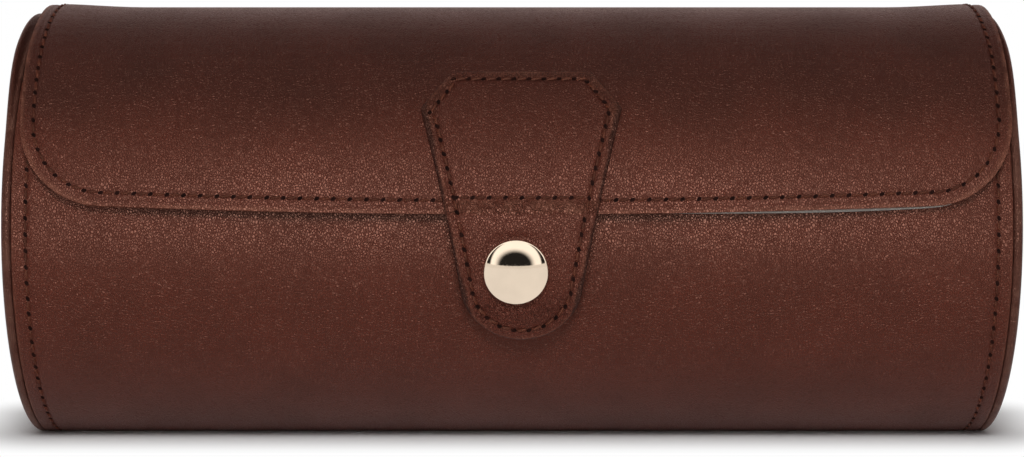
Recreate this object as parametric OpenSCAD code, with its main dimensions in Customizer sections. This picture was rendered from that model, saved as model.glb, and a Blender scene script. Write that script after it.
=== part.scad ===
// Watch travel case: a lying leather cylinder with a wrap-over lid, a pointed
// closing tab with a magnetic snap, and three lift-out watch pillows inside.
//
// X runs along the case, the front is -Y and +Z is up. The origin is the centre
// of the flat that the case rests on. Angles named _deg are measured round the
// case axis: 0 is the front, 90 the top, 180 the back. Lengths are millimetres.

/* [Case] */
// Length over the two leather ends
case_len = 207; // [170:1:260]
// Outer radius of the body over its leather
case_r = 45; // [42:1:56]
// Width of the flat along the underside
rest_flat_w = 19; // [12:1:26]

/* [Body wall] */
// Outer leather
wrap_t = 1.3; // [1.0:0.1:2.0]
// Stiff board inside the leather
board_t = 2.0; // [1.5:0.1:3.0]
// Suede lining
lining_t = 0.9; // [0.6:0.1:1.5]
// Where the front wall ends, up from the front
mouth_front_deg = 48; // [42:1:58]
// Width of the leather turned over the mouth edges
mouth_turn_w = 1.2; // [0.8:0.1:2.0]

/* [Hinge] */
// Where the leather hinge bends
hinge_deg = 140; // [134:1:146]
// Half of the bending strip, as an angle
hinge_half_deg = 6; // [5:0.5:9]
// Thickness of the bending strip
hinge_t = 1.1; // [0.8:0.1:1.3]

/* [Ends] */
// Leather of the end, padded
end_leather_t = 2.0; // [1.6:0.1:3.0]
// Rounding of its outer edge
end_edge_r = 1.6; // [0.8:0.1:1.6]
// Width of the flange that is sewn under the body leather
flange_w = 5.0; // [4:0.5:8]
// Thickness of that flange
flange_t = 1.0; // [0.7:0.1:1.4]
// Board inside the end
end_board_t = 2.0; // [1.5:0.1:2.8]
// Suede on the inside of the end
end_lining_t = 0.8; // [0.5:0.1:1.2]

/* [Lid] */
// Gap between the lid and the body leather
lid_gap = 0.3; // [0.3:0.1:1.0]
// Suede lining of the lid
lid_lining_t = 0.8; // [0.5:0.1:1.2]
// Stiffener board of the lid
lid_board_t = 1.1; // [0.8:0.1:1.6]
// Leather of the lid over the stiffener
lid_leather_t = 1.1; // [0.8:0.1:1.6]
// Middle of the lid's front edge
lid_edge_deg = 9; // [5:0.5:12]
// How far the edge rises from its middle to its ends
lid_edge_bow = 2.4; // [0:0.2:4]
// Radius of the two front corners
lid_corner_r = 15; // [8:1:22]
// Lid end to the end of the body leather
lid_end_gap = 1.0; // [0.5:0.1:3]
// Width of the leather turned round the lid's edge
lid_turn_w = 3.0; // [2:0.5:5]
// Lid edge to the lining
lid_lining_inset = 1.5; // [0.5:0.5:3]

/* [Tab] */
// Sideways place of the tab
tab_x = 1.9; // [-5:0.1:5]
// Leather of the tab
tab_t = 1.4; // [1.0:0.1:2.0]
// Backing leather behind its free end
backing_t = 0.9; // [0.6:0.1:1.2]
// Margin of the backing inside the tab's outline
backing_margin = 0.8; // [0.4:0.1:1.5]
// Width of the top edge
tab_top_w = 28.3; // [20:0.5:34]
// Width at the shoulders
tab_shoulder_w = 40.9; // [36:0.5:50]
// Width where the tab bends
tab_neck_w = 30.2; // [26:0.5:34]
// Radius of the rounded tip
tab_tip_r = 12.4; // [10:0.2:13]
// Top edge
tab_top_deg = 46.2; // [42:0.2:52]
// Shoulders
tab_shoulder_deg = 35.3; // [30:0.2:40]
// Lowest point of the tip
tab_tip_deg = -21.7; // [-28:0.1:-20]
// Slot at the bend, between the sewn part on the lid and the free part
tab_bend_gap = 0.4; // [0.3:0.1:0.8]
// Bend to the top of the backing
backing_drop = 0.6; // [0.4:0.1:2.0]

/* [Snap] */
// Sideways place of the snap
snap_x = 0.8; // [-3:0.1:3]
// Height of the snap round the case
snap_deg = -4.4; // [-7:0.1:-3]
// Diameter of the domed cap
cap_d = 13; // [11:0.5:15]
// Height of its dome
cap_dome_h = 3.2; // [2:0.1:4.5]
// Height of its straight rim
cap_rim_h = 0.8; // [0.6:0.1:1.5]
// Sheet that the cap is pressed from
cap_sheet_t = 0.5; // [0.3:0.05:0.6]
// Post of the rivet through the tab
post_d = 3.5; // [2.5:0.1:4.5]
// Diameter of the cup that holds the magnet
cup_d = 12; // [10.5:0.1:12.5]
// Depth of the cup
cup_h = 1.05; // [0.9:0.05:1.2]
// Floor of the cup
cup_floor_t = 0.4; // [0.3:0.05:0.5]
// Rim of the cup
cup_rim_t = 0.8; // [0.5:0.1:1.2]
// Diameter of the steel plate on the body
striker_d = 12; // [10.5:0.1:13]
// Gap between the plate and the cup
snap_gap = 0.25; // [0.2:0.05:0.4]
// Shank of the plate's rivet
shank_d = 2.5; // [2:0.1:3]
// Diameter of the head of the plate's rivet
head_d = 4.8; // [4:0.1:6]
// Depth of that countersunk head
head_h = 0.8; // [0.5:0.1:0.9]
// Washer behind the board
washer_d = 8; // [6:0.2:10]
// Thickness of the washer
washer_t = 0.5; // [0.3:0.1:0.7]

/* [Dividers] */
// Thickness over both covers
divider_t = 3.2; // [2.4:0.1:5]
// Suede cover on each face
divider_cover_t = 0.6; // [0.4:0.1:0.9]
// Top of the divider above the case axis
divider_top = 28; // [16:1:31]
// Radius of its arched top
divider_crown_r = 60; // [50:1:120]
// Gap to the lining round its edge
divider_fit = 0.2; // [0.1:0.05:0.4]

/* [Pillows] */
// Width of a pillow across the case
pillow_w = 62; // [50:1:64]
// Height of a pillow
pillow_h = 54; // [44:1:56]
// Play at each end of a pillow
pillow_play = 1.9; // [0.5:0.1:4]
// Suede cover of a pillow
pillow_cover_t = 1.2; // [0.8:0.1:2]
// Gap between a pillow and the lining under it
pillow_seat = 0.3; // [0.3:0.05:0.6]

/* [Hidden] */
$fn = 128;
// Sides of a pillow's outline
PILLOW_SIDES = 56;
// Steps of the hinge strip's curve
HINGE_STEPS = 8;
// Steps of a lid corner and of the lid's bowed edge
CORNER_STEPS = 8;
EDGE_STEPS = 12;
// Steps of the tab's round tip
TIP_STEPS = 24;
// Running clearance of a rivet in its hole, and of the magnet in its cup
HOLE_FIT = 0.05;
// A length that reaches past everything
FAR = 400;
// How far a cutter reaches past the face that it cuts
CUT = 1;

// Height of the case axis over the flat
axis_z = sqrt(case_r * case_r - rest_flat_w * rest_flat_w / 4);
// Depths of the body's layers, from the outside
board_in = wrap_t;
lining_in = wrap_t + board_t;
room_in = wrap_t + board_t + lining_t;
// Half lengths along X
wrap_half = case_len / 2 - end_leather_t;
flange_half = wrap_half - flange_w;
end_lining_half = wrap_half - end_board_t;
room_half = end_lining_half - end_lining_t;
lid_half = wrap_half - lid_end_gap;
// Lid radii, from the inside
lid_r0 = case_r + lid_gap;
lid_r1 = lid_r0 + lid_lining_t;
lid_r2 = lid_r1 + lid_board_t;
lid_r3 = lid_r2 + lid_leather_t;
// Tab radii: the sewn part lies on the lid and the free part carries on from it
tab_r = lid_r3 + tab_t;
backing_r = lid_r3 - backing_t;
// Height of the bend, at the lid's front edge, and its angle on the tab
bend_z = lid_r3 * sin(lid_edge_deg);
tab_bend_deg = asin(bend_z / tab_r);
// Body and lid ends on either side of the hinge
wall_back_deg = hinge_deg + hinge_half_deg;
lid_back_deg = hinge_deg - hinge_half_deg;
// Snap heights along its own axis, measured from the case axis
cup_top = sqrt(pow(backing_r, 2) - pow(cup_d / 2, 2));
cup_face = cup_top - cup_h;
striker_face = cup_face - snap_gap;
striker_seat = sqrt(pow(case_r, 2) - pow(striker_d / 2, 2)) - HOLE_FIT;
washer_seat = case_r - lining_in + HOLE_FIT + washer_t;
// Pillows and compartments
divider_x = (2 * room_half - 2 * divider_t) / 6 + divider_t / 2;
bay_len = 2 * (divider_x - divider_t / 2);
pillow_x = divider_x + divider_t / 2 + bay_len / 2;
pillow_len = bay_len - 2 * pillow_play;
pillow_z = room_in + pillow_seat + pillow_h / 2;

LEATHER = [0.32, 0.18, 0.15];
DARK_LEATHER = [0.27, 0.15, 0.12];
SUEDE = [0.78, 0.74, 0.68];
BOARD = [0.62, 0.53, 0.42];
FOAM = [0.93, 0.90, 0.80];
GOLD = [0.86, 0.76, 0.60];
STEEL = [0.72, 0.72, 0.74];
MAGNET = [0.35, 0.35, 0.37];

// ---- Placing helpers ----

// Turns a drawing of the case's section (x to the front, y up) to stand round
// the case axis, extruded from x0 to x1 along the case.
module along_case(x0, x1) {
    translate([x1, 0, axis_z])
        rotate([90, 0, -90])
            linear_extrude(height = x1 - x0)
                children();
}

// Puts children with their z along the outward normal at an angle of the case.
module on_normal(x, deg) {
    translate([x, 0, axis_z])
        rotate([90 - deg, 0, 0])
            children();
}

// Shows children as they are for the left end, mirrored for the right end.
module to_side(side) {
    if (side == "left")
        children();
    else
        mirror([1, 0, 0])
            children();
}

// ---- Section drawings ----

// The body's section at a depth under its outer face, with the flat below.
module section(depth) {
    intersection() {
        circle(r = case_r - depth);
        translate([-FAR / 2, -(axis_z - depth)])
            square([FAR, FAR]);
    }
}

// A wedge from one angle to another, wide enough to cut any layer.
module wedge(from_deg, to_deg) {
    middle = (from_deg + to_deg) / 2;
    polygon([
        [0, 0],
        FAR * [cos(from_deg), sin(from_deg)],
        FAR * [cos(middle), sin(middle)],
        FAR * [cos(to_deg), sin(to_deg)],
    ]);
}

// One layer of the body wall, with the mouth cut out of it.
module wall_layer(depth0, depth1, trim_deg) {
    difference() {
        section(depth0);
        section(depth1);
        wedge(mouth_front_deg - trim_deg, wall_back_deg + trim_deg);
    }
}

// A ring between two radii, kept between two angles.
module ring(r_in, r_out, from_deg, to_deg) {
    intersection() {
        difference() {
            circle(r = r_out);
            circle(r = r_in);
        }
        wedge(from_deg, to_deg);
    }
}

// ---- Body ----

// Angle that the turned leather covers at the mouth.
mouth_turn_deg = mouth_turn_w / (case_r - board_in) * 180 / PI;

module body_leather() {
    color(LEATHER)
        difference() {
            along_case(-wrap_half, wrap_half)
                wall_layer(0, board_in, 0);
            on_normal(snap_x, snap_deg) {
                translate([0, 0, striker_seat])
                    cylinder(d = striker_d + 2 * HOLE_FIT, h = FAR / 8);
                translate([0, 0, case_r - 2 * wrap_t])
                    cylinder(d = shank_d + 2 * HOLE_FIT, h = 3 * wrap_t);
            }
        }
}

module body_board() {
    color(BOARD)
        difference() {
            along_case(-flange_half, flange_half)
                wall_layer(board_in, lining_in, mouth_turn_deg);
            on_normal(snap_x, snap_deg) {
                translate([0, 0, case_r - room_in])
                    cylinder(d = shank_d + 2 * HOLE_FIT, h = board_t + lining_t + CUT);
                translate([0, 0, case_r - room_in])
                    cylinder(d = washer_d + 2 * HOLE_FIT, h = washer_seat - (case_r - room_in));
            }
        }
}

module body_lining() {
    color(SUEDE)
        along_case(-room_half, room_half)
            wall_layer(lining_in, room_in, mouth_turn_deg);
}

// ---- Ends ----

// Rounded leather disc with the flange that is sewn under the body leather.
module end_leather(side) {
    color(DARK_LEATHER)
        to_side(side) {
            intersection() {
                translate([-wrap_half, 0, axis_z])
                    rotate([0, -90, 0])
                        rotate_extrude()
                            end_profile();
                translate([-FAR, -FAR / 2, 0])
                    cube(FAR);
            }
            along_case(-wrap_half, -flange_half)
                difference() {
                    section(board_in);
                    section(board_in + flange_t);
                }
        }
}

// Half section of the disc: radius to the right, thickness upwards.
module end_profile() {
    edge_r = min(end_edge_r, end_leather_t);
    square([case_r - edge_r, end_leather_t]);
    square([case_r, end_leather_t - edge_r]);
    intersection() {
        translate([case_r - edge_r, end_leather_t - edge_r])
            circle(r = edge_r, $fn = 48);
        square([case_r, end_leather_t]);
    }
}

module end_board(side) {
    color(BOARD)
        to_side(side)
            along_case(-wrap_half, -end_lining_half)
                section(board_in + flange_t);
}

module end_lining(side) {
    color(SUEDE)
        to_side(side)
            along_case(-end_lining_half, -room_half)
                section(board_in + flange_t);
}

// ---- Dividers ----

// Outline of a divider, a given amount lower than its top.
module divider_outline(lower) {
    intersection() {
        section(room_in + divider_fit);
        translate([0, divider_top - divider_crown_r - lower])
            circle(r = divider_crown_r);
    }
}

module divider_board(side) {
    half_t = divider_t / 2 - divider_cover_t;
    color(BOARD)
        to_side(side)
            along_case(-divider_x - half_t, -divider_x + half_t)
                divider_outline(divider_cover_t);
}

// Suede folded over the top of the board and glued down both faces.
module divider_cover(side) {
    half_t = divider_t / 2 - divider_cover_t;
    color(SUEDE)
        to_side(side)
            difference() {
                along_case(-divider_x - divider_t / 2, -divider_x + divider_t / 2)
                    divider_outline(0);
                along_case(-divider_x - half_t, -divider_x + half_t)
                    translate([0, divider_top - divider_crown_r - divider_cover_t])
                        circle(r = divider_crown_r);
            }
}

// ---- Magnetic snap: the half on the body ----

module striker_plate() {
    color(STEEL)
        on_normal(snap_x, snap_deg)
            difference() {
                translate([0, 0, striker_seat])
                    cylinder(d = striker_d, h = striker_face - striker_seat);
                translate([0, 0, striker_seat - CUT])
                    cylinder(d = shank_d + 2 * HOLE_FIT, h = FAR / 8);
                translate([0, 0, striker_face - head_h - HOLE_FIT])
                    cylinder(d1 = shank_d, d2 = head_d + 2 * HOLE_FIT, h = head_h + HOLE_FIT);
            }
}

// Countersunk rivet through the plate, the leather and the board.
module striker_rivet() {
    tail = washer_seat - washer_t;
    color(STEEL)
        on_normal(snap_x, snap_deg) {
            translate([0, 0, tail])
                cylinder(d = shank_d, h = striker_face - tail);
            translate([0, 0, striker_face - head_h])
                cylinder(d1 = shank_d, d2 = head_d, h = head_h);
        }
}

module striker_washer() {
    color(STEEL)
        on_normal(snap_x, snap_deg)
            translate([0, 0, washer_seat - washer_t])
                difference() {
                    cylinder(d = washer_d, h = washer_t);
                    translate([0, 0, -CUT])
                        cylinder(d = shank_d + 2 * HOLE_FIT, h = washer_t + 2 * CUT);
                }
}

// ---- Hinge ----

// Outer radius of the strip at a fraction of its width: body radius to lid radius.
function strip_r(t) = case_r + (lid_r3 - case_r) * (1 - cos(180 * t)) / 2;
function strip_deg(t) = wall_back_deg - 2 * hinge_half_deg * t;
function strip_edge(depth) = [
    for (i = [0:HINGE_STEPS])
        let (t = i / HINGE_STEPS)
            (strip_r(t) - depth) * [cos(strip_deg(t)), sin(strip_deg(t))]
];
function backwards(list) = [for (i = [len(list) - 1:-1:0]) list[i]];

// The leather that bends, from the back wall up to the lid.
module hinge_strip() {
    color(LEATHER)
        along_case(-lid_half, lid_half)
            polygon(concat(strip_edge(0), backwards(strip_edge(hinge_t))));
}

// ---- Lid ----

// Height of the lid's front edge over the case axis, rising to both ends.
function lid_edge_z(x) = bend_z + lid_edge_bow * pow(x / lid_half, 2);

// Front view of the lid, drawn in by an inset: bowed edge, round corners.
module lid_front(inset) {
    half = lid_half - inset;
    corner = lid_corner_r - inset;
    flat_half = half - corner;
    edge = [
        for (i = [-EDGE_STEPS:EDGE_STEPS])
            let (x = flat_half * i / EDGE_STEPS)
                [x, lid_edge_z(x) + inset]
    ];
    corner_z = lid_edge_z(flat_half) + inset + corner;
    right = [
        for (i = [1:CORNER_STEPS])
            let (a = -90 + 90 * i / CORNER_STEPS)
                [flat_half + corner * cos(a), corner_z + corner * sin(a)]
    ];
    left = [for (p = backwards(right)) [-p[0], p[1]]];
    polygon(concat(edge, right, [[half, FAR / 2], [-half, FAR / 2]], left));
}

// A layer of the lid between two radii, inside an inset of its outline.
module lid_layer(r_in, r_out, inset) {
    intersection() {
        along_case(-lid_half, lid_half)
            ring(r_in, r_out, 0, lid_back_deg);
        translate([0, FAR / 2, axis_z])
            rotate([90, 0, 0])
                linear_extrude(height = FAR)
                    lid_front(inset);
    }
}

// Leather over the stiffener, turned round its edge, so the board lies in it.
module lid_leather() {
    color(LEATHER)
        difference() {
            lid_layer(lid_r1, lid_r3, 0);
            lid_layer(lid_r1 - CUT, lid_r2, lid_turn_w);
        }
}

module lid_board() {
    color(BOARD)
        lid_layer(lid_r1, lid_r2, lid_turn_w);
}

module lid_lining() {
    color(SUEDE)
        lid_layer(lid_r0, lid_r1, lid_lining_inset);
}

// ---- Tab ----

// Shell round the case axis, laid along X in the frame of on_normal.
module tab_shell(r_in, r_out) {
    rotate([0, 90, 0])
        difference() {
            cylinder(r = r_out, h = FAR / 2, center = true);
            cylinder(r = r_in, h = FAR, center = true);
        }
}

// Keeps what is above (sign 1) or below (sign -1) a height over the case axis.
module keep_side(z, sign) {
    intersection() {
        children();
        translate([-FAR / 2, -FAR / 2, axis_z + z + (sign < 0 ? -FAR : 0)])
            cube(FAR);
    }
}

// Upper part of the tab, sewn down on the lid: shield with two shoulders.
module tab_anchor() {
    middle = (tab_top_deg + tab_bend_deg) / 2;
    top = tab_r * sin(tab_top_deg - middle);
    shoulder = tab_r * sin(tab_shoulder_deg - middle);
    color(LEATHER)
        keep_side(bend_z, 1)
            on_normal(tab_x, middle)
                intersection() {
                    tab_shell(lid_r3, tab_r);
                    linear_extrude(height = FAR)
                        polygon([
                            [-tab_top_w / 2, top],
                            [-tab_shoulder_w / 2, shoulder],
                            [-tab_neck_w / 2, -top],
                            [-tab_neck_w / 2, -top - CUT],
                            [tab_neck_w / 2, -top - CUT],
                            [tab_neck_w / 2, -top],
                            [tab_shoulder_w / 2, shoulder],
                            [tab_top_w / 2, top],
                        ]);
                }
}

// Outline of the free part: tapered from the bend to a round tip, in an inset.
// It reaches past the bend, where strap_layer cuts it level.
module strap_outline(inset) {
    half = tab_neck_w / 2 - inset;
    high = tab_r * sin(tab_bend_deg - snap_deg);
    low = tab_r * sin(tab_tip_deg - snap_deg) + inset;
    tip_r = tab_tip_r - inset;
    tip_y = low + tip_r;
    // Angle at which the straight side meets the round tip
    touch = atan2(high - tip_y, half) - acos(tip_r / norm([half, high - tip_y]));
    tip = [
        for (i = [0:TIP_STEPS])
            let (a = touch - (180 + 2 * touch) * i / TIP_STEPS)
                [tip_r * cos(a), tip_y + tip_r * sin(a)]
    ];
    polygon(concat([[-half, high + CUT], [half, high + CUT], [half, high]], tip, [[-half, high]]));
}

// A layer of the free part below a height, with the hole for the snap's post.
module strap_layer(r_in, r_out, inset, top_z) {
    keep_side(top_z, -1)
        difference() {
            on_normal(tab_x, snap_deg)
                intersection() {
                    tab_shell(r_in, r_out);
                    linear_extrude(height = FAR)
                        strap_outline(inset);
                }
            on_normal(snap_x, snap_deg)
                cylinder(d = post_d + 2 * HOLE_FIT, h = FAR);
        }
}

module tab_strap() {
    color(LEATHER)
        strap_layer(lid_r3, tab_r, 0, bend_z - tab_bend_gap);
}

module tab_backing() {
    color(DARK_LEATHER)
        strap_layer(backing_r, lid_r3, backing_margin, bend_z - backing_drop);
}

// ---- Magnetic snap: the half on the tab ----

// Half section of a dome on a straight rim: radius to the right, base on y = 0.
module dome_profile(d, dome_h, rim_h) {
    r = (d * d / 4 + dome_h * dome_h) / (2 * dome_h);
    intersection() {
        translate([0, rim_h + dome_h - r])
            circle(r = r);
        square([d / 2, dome_h + rim_h + CUT]);
    }
}

// Thin polished cap, pressed over the head of its rivet.
module snap_cap() {
    inner_d = cap_d - 2 * cap_sheet_t;
    color(GOLD)
        on_normal(snap_x, snap_deg)
            translate([0, 0, tab_r])
                rotate_extrude()
                    difference() {
                        dome_profile(cap_d, cap_dome_h, cap_rim_h);
                        translate([0, -CUT])
                            dome_profile(inner_d, cap_dome_h - cap_sheet_t, cap_rim_h + CUT);
                    }
}

// Rivet: a wide head held in the cap and a post down to the cup.
module cap_rivet() {
    color(STEEL)
        on_normal(snap_x, snap_deg) {
            translate([0, 0, tab_r])
                cylinder(d = cap_d - 2 * cap_sheet_t - 2 * HOLE_FIT, h = cap_sheet_t);
            translate([0, 0, cup_top - cup_floor_t])
                cylinder(d = post_d, h = tab_r - cup_top + cup_floor_t + cap_sheet_t / 2);
        }
}

module magnet_cup() {
    color(STEEL)
        on_normal(snap_x, snap_deg)
            difference() {
                translate([0, 0, cup_face])
                    cylinder(d = cup_d, h = cup_h);
                translate([0, 0, cup_face - CUT])
                    cylinder(d = cup_d - 2 * cup_rim_t, h = cup_h - cup_floor_t + CUT);
                translate([0, 0, cup_face - CUT])
                    cylinder(d = post_d + 2 * HOLE_FIT, h = cup_h + 2 * CUT);
            }
}

module magnet() {
    color(MAGNET)
        on_normal(snap_x, snap_deg)
            translate([0, 0, cup_face])
                cylinder(d = cup_d - 2 * cup_rim_t - 2 * HOLE_FIT, h = cup_h - cup_floor_t);
}

// ---- Pillows ----

function bay_x(bay) = bay == "left" ? -pillow_x : bay == "right" ? pillow_x : 0;

// Oval section of a pillow, drawn in by an inset.
module pillow_oval(inset) {
    polygon([
        for (i = [0:PILLOW_SIDES - 1])
            let (a = 360 * i / PILLOW_SIDES)
                [(pillow_w / 2 - inset) * cos(a), (pillow_h / 2 - inset) * sin(a)]
    ]);
}

// Extrudes a section drawing between two places along a pillow.
module along_pillow(bay, x0, x1) {
    translate([0, 0, pillow_z - axis_z])
        along_case(bay_x(bay) + x0, bay_x(bay) + x1)
            children();
}

module pillow_wrap(bay) {
    half = pillow_len / 2 - pillow_cover_t;
    color(SUEDE)
        along_pillow(bay, -half, half)
            difference() {
                pillow_oval(0);
                pillow_oval(pillow_cover_t);
            }
}

module pillow_ends(bay) {
    half = pillow_len / 2;
    color(SUEDE) {
        along_pillow(bay, -half, -half + pillow_cover_t)
            pillow_oval(0);
        along_pillow(bay, half - pillow_cover_t, half)
            pillow_oval(0);
    }
}

module pillow_core(bay) {
    half = pillow_len / 2 - pillow_cover_t;
    color(FOAM)
        along_pillow(bay, -half, half)
            pillow_oval(pillow_cover_t);
}

// ---- Nodes ----

body_leather();
body_board();
body_lining();
end_leather("left");  // end_leather_left
end_leather("right");  // end_leather_right
end_board("left");  // end_board_left
end_board("right");  // end_board_right
end_lining("left");  // end_lining_left
end_lining("right");  // end_lining_right
divider_board("left");  // divider_board_left
divider_board("right");  // divider_board_right
divider_cover("left");  // divider_cover_left
divider_cover("right");  // divider_cover_right
striker_plate();
striker_rivet();
striker_washer();
hinge_strip();
lid_leather();
lid_board();
lid_lining();
tab_anchor();
tab_strap();
tab_backing();
snap_cap();
cap_rivet();
magnet_cup();
magnet();
pillow_wrap("left");  // pillow_wrap_left
pillow_wrap("middle");  // pillow_wrap_middle
pillow_wrap("right");  // pillow_wrap_right
pillow_ends("left");  // pillow_ends_left
pillow_ends("middle");  // pillow_ends_middle
pillow_ends("right");  // pillow_ends_right
pillow_core("left");  // pillow_core_left
pillow_core("middle");  // pillow_core_middle
pillow_core("right");  // pillow_core_right
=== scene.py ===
"""Watch travel case: hides, seams, snap, linings and pillows laid over its solids."""
import logging
import math
from dataclasses import dataclass, field
from enum import Enum
from typing import Callable, Sequence, TypeVar

import bpy
from mathutils import Matrix, Vector
from mathutils.geometry import intersect_point_line


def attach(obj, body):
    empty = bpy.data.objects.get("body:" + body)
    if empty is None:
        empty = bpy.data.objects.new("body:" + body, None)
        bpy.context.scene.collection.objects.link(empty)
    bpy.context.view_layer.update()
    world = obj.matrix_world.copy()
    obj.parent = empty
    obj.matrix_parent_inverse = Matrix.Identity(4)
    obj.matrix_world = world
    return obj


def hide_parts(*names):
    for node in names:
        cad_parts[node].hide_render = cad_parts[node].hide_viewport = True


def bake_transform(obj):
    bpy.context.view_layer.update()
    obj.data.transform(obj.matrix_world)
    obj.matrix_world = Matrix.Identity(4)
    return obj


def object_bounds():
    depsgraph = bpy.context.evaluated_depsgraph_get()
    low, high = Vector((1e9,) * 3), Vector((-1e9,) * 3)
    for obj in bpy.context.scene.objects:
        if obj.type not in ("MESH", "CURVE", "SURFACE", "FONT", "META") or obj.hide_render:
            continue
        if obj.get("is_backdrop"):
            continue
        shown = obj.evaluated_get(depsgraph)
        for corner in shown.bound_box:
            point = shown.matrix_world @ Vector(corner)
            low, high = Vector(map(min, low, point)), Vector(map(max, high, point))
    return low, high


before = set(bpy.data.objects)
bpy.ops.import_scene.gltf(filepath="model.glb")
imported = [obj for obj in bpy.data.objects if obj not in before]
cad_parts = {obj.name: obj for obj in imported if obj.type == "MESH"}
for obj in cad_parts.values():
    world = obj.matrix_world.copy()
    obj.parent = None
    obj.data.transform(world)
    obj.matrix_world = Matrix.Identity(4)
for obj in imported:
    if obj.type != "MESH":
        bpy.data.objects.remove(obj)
CAD_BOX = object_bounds()

MM = 0.001
LOG = logging.getLogger("watch_case")
Item = TypeVar("Item")
Piece = bpy.types.Object
Socket = bpy.types.NodeSocket
Colour = tuple[float, float, float, float]
Corners = list[tuple[float, float]]
Line = list[tuple[Vector, Vector]]
SIDES = (("left", -1.0), ("right", 1.0))


# --- workbench


class Select(Enum):
    """What an edit-mode step works on."""

    ALL = "all"
    NONE = "none"


class Bench:
    """Small steps of hand modelling that every sub-assembly uses."""

    @staticmethod
    def clear() -> None:
        """Leaves object mode with nothing selected."""
        if bpy.context.object and bpy.context.object.mode != "OBJECT":
            bpy.ops.object.mode_set(mode="OBJECT")
        bpy.ops.object.select_all(action="DESELECT")

    @staticmethod
    def name(piece_name: str) -> Piece:
        """Names the primitive that was just added.

        Args:
            piece_name: Name of the piece.

        Returns:
            The new object.
        """
        obj = bpy.context.active_object
        obj.name = piece_name
        obj.data.name = piece_name
        return obj

    @staticmethod
    def activate(obj: Piece) -> None:
        """Makes an object the only selected one."""
        Bench.clear()
        obj.select_set(True)
        bpy.context.view_layer.objects.active = obj

    @staticmethod
    def edit(obj: Piece, select: Select = Select.ALL, mode: str = "FACE") -> None:
        """Opens an object in edit mode.

        Args:
            obj: The piece to shape.
            select: Whether everything or nothing starts selected.
            mode: Element kind, one of VERT, EDGE and FACE.
        """
        Bench.activate(obj)
        bpy.ops.object.mode_set(mode="EDIT")
        bpy.ops.mesh.select_mode(type=mode)
        bpy.ops.mesh.select_all(action="SELECT" if select is Select.ALL else "DESELECT")

    @staticmethod
    def pick(obj: Piece, test: Callable[[Vector], bool]) -> None:
        """Opens an object in edit mode with only some faces selected.

        Args:
            obj: The piece to shape.
            test: Tells from the middle of a face whether it is taken.
        """
        Bench.edit(obj, Select.NONE)
        Bench.done()
        for face in obj.data.polygons:
            face.select = test(face.center)
        bpy.ops.object.mode_set(mode="EDIT")

    @staticmethod
    def done() -> None:
        """Goes back to object mode."""
        bpy.ops.object.mode_set(mode="OBJECT")

    @staticmethod
    def settle(obj: Piece) -> None:
        """Puts the place, turn and size of an object into its mesh."""
        Bench.activate(obj)
        bpy.ops.object.transform_apply(location=True, rotation=True, scale=True)

    @staticmethod
    def apply(obj: Piece, kind: str, **settings: object) -> None:
        """Adds a modifier with its settings and applies it.

        Args:
            obj: The piece.
            kind: Modifier type.
            settings: Values of the modifier.
        """
        Bench.activate(obj)
        modifier = obj.modifiers.new(kind.lower(), kind)
        for key, value in settings.items():
            setattr(modifier, key, value)
        bpy.ops.object.modifier_apply(modifier=modifier.name)

    @staticmethod
    def smooth(obj: Piece, degrees: float = 40.0) -> None:
        """Shades smooth, keeping edges sharper than an angle."""
        Bench.activate(obj)
        bpy.ops.object.shade_smooth_by_angle(angle=math.radians(degrees))

    @staticmethod
    def outward(obj: Piece) -> None:
        """Merges doubles and turns the faces of a closed piece outward."""
        Bench.edit(obj)
        bpy.ops.mesh.remove_doubles(threshold=1e-6)
        bpy.ops.mesh.normals_make_consistent(inside=False)
        Bench.done()

    @staticmethod
    def outward_up(obj: Piece) -> None:
        """Merges doubles of a flat sheet and turns its faces up Z."""
        Bench.edit(obj)
        bpy.ops.mesh.remove_doubles(threshold=1e-7)
        Bench.done()
        Bench.pick(obj, lambda _: True)
        bpy.ops.mesh.normals_make_consistent(inside=False)
        Bench.done()
        if sum(face.normal.z * face.area for face in obj.data.polygons) < 0.0:
            Bench.edit(obj)
            bpy.ops.mesh.flip_normals()
            Bench.done()

    @staticmethod
    def weld(obj: Piece, others: Sequence[Piece]) -> None:
        """Joins other objects into one.

        Args:
            obj: The object that stays.
            others: The objects that go into it.
        """
        Bench.clear()
        for other in others:
            other.select_set(True)
        obj.select_set(True)
        bpy.context.view_layer.objects.active = obj
        bpy.ops.object.join()

    @staticmethod
    def grid(piece_name: str, columns: int, rows: int) -> Piece:
        """Adds a flat sheet of a number of columns and rows.

        Args:
            piece_name: Name of the piece.
            columns: Number of columns.
            rows: Number of rows.

        Returns:
            The sheet, two units wide and high.
        """
        Bench.clear()
        bpy.ops.mesh.primitive_grid_add(x_subdivisions=columns, y_subdivisions=rows, size=2.0)
        return Bench.name(piece_name)

    @staticmethod
    def shape(obj: Piece, move: Callable[[Vector], Vector]) -> None:
        """Moves every vertex of a mesh to where a function puts it."""
        for vertex in obj.data.vertices:
            vertex.co = move(vertex.co)
        obj.data.update()

    @staticmethod
    def twin(model: Piece) -> Piece:
        """Copies an object with a mesh of its own.

        Args:
            model: The object to copy.

        Returns:
            The copy, in the scene.
        """
        copy = model.copy()
        copy.data = model.data.copy()
        bpy.context.collection.objects.link(copy)
        return copy

    @staticmethod
    def thicken(sheet: Piece, wall: float, group: str = "") -> None:
        """Gives a sheet its wall, inward from the face that was laid.

        Args:
            sheet: The sheet.
            wall: Its thickness.
            group: Vertex group that thins it, or none.
        """
        Bench.apply(
            sheet, "SOLIDIFY", thickness=wall, offset=-1.0, vertex_group=group, use_even_offset=False
        )

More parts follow.
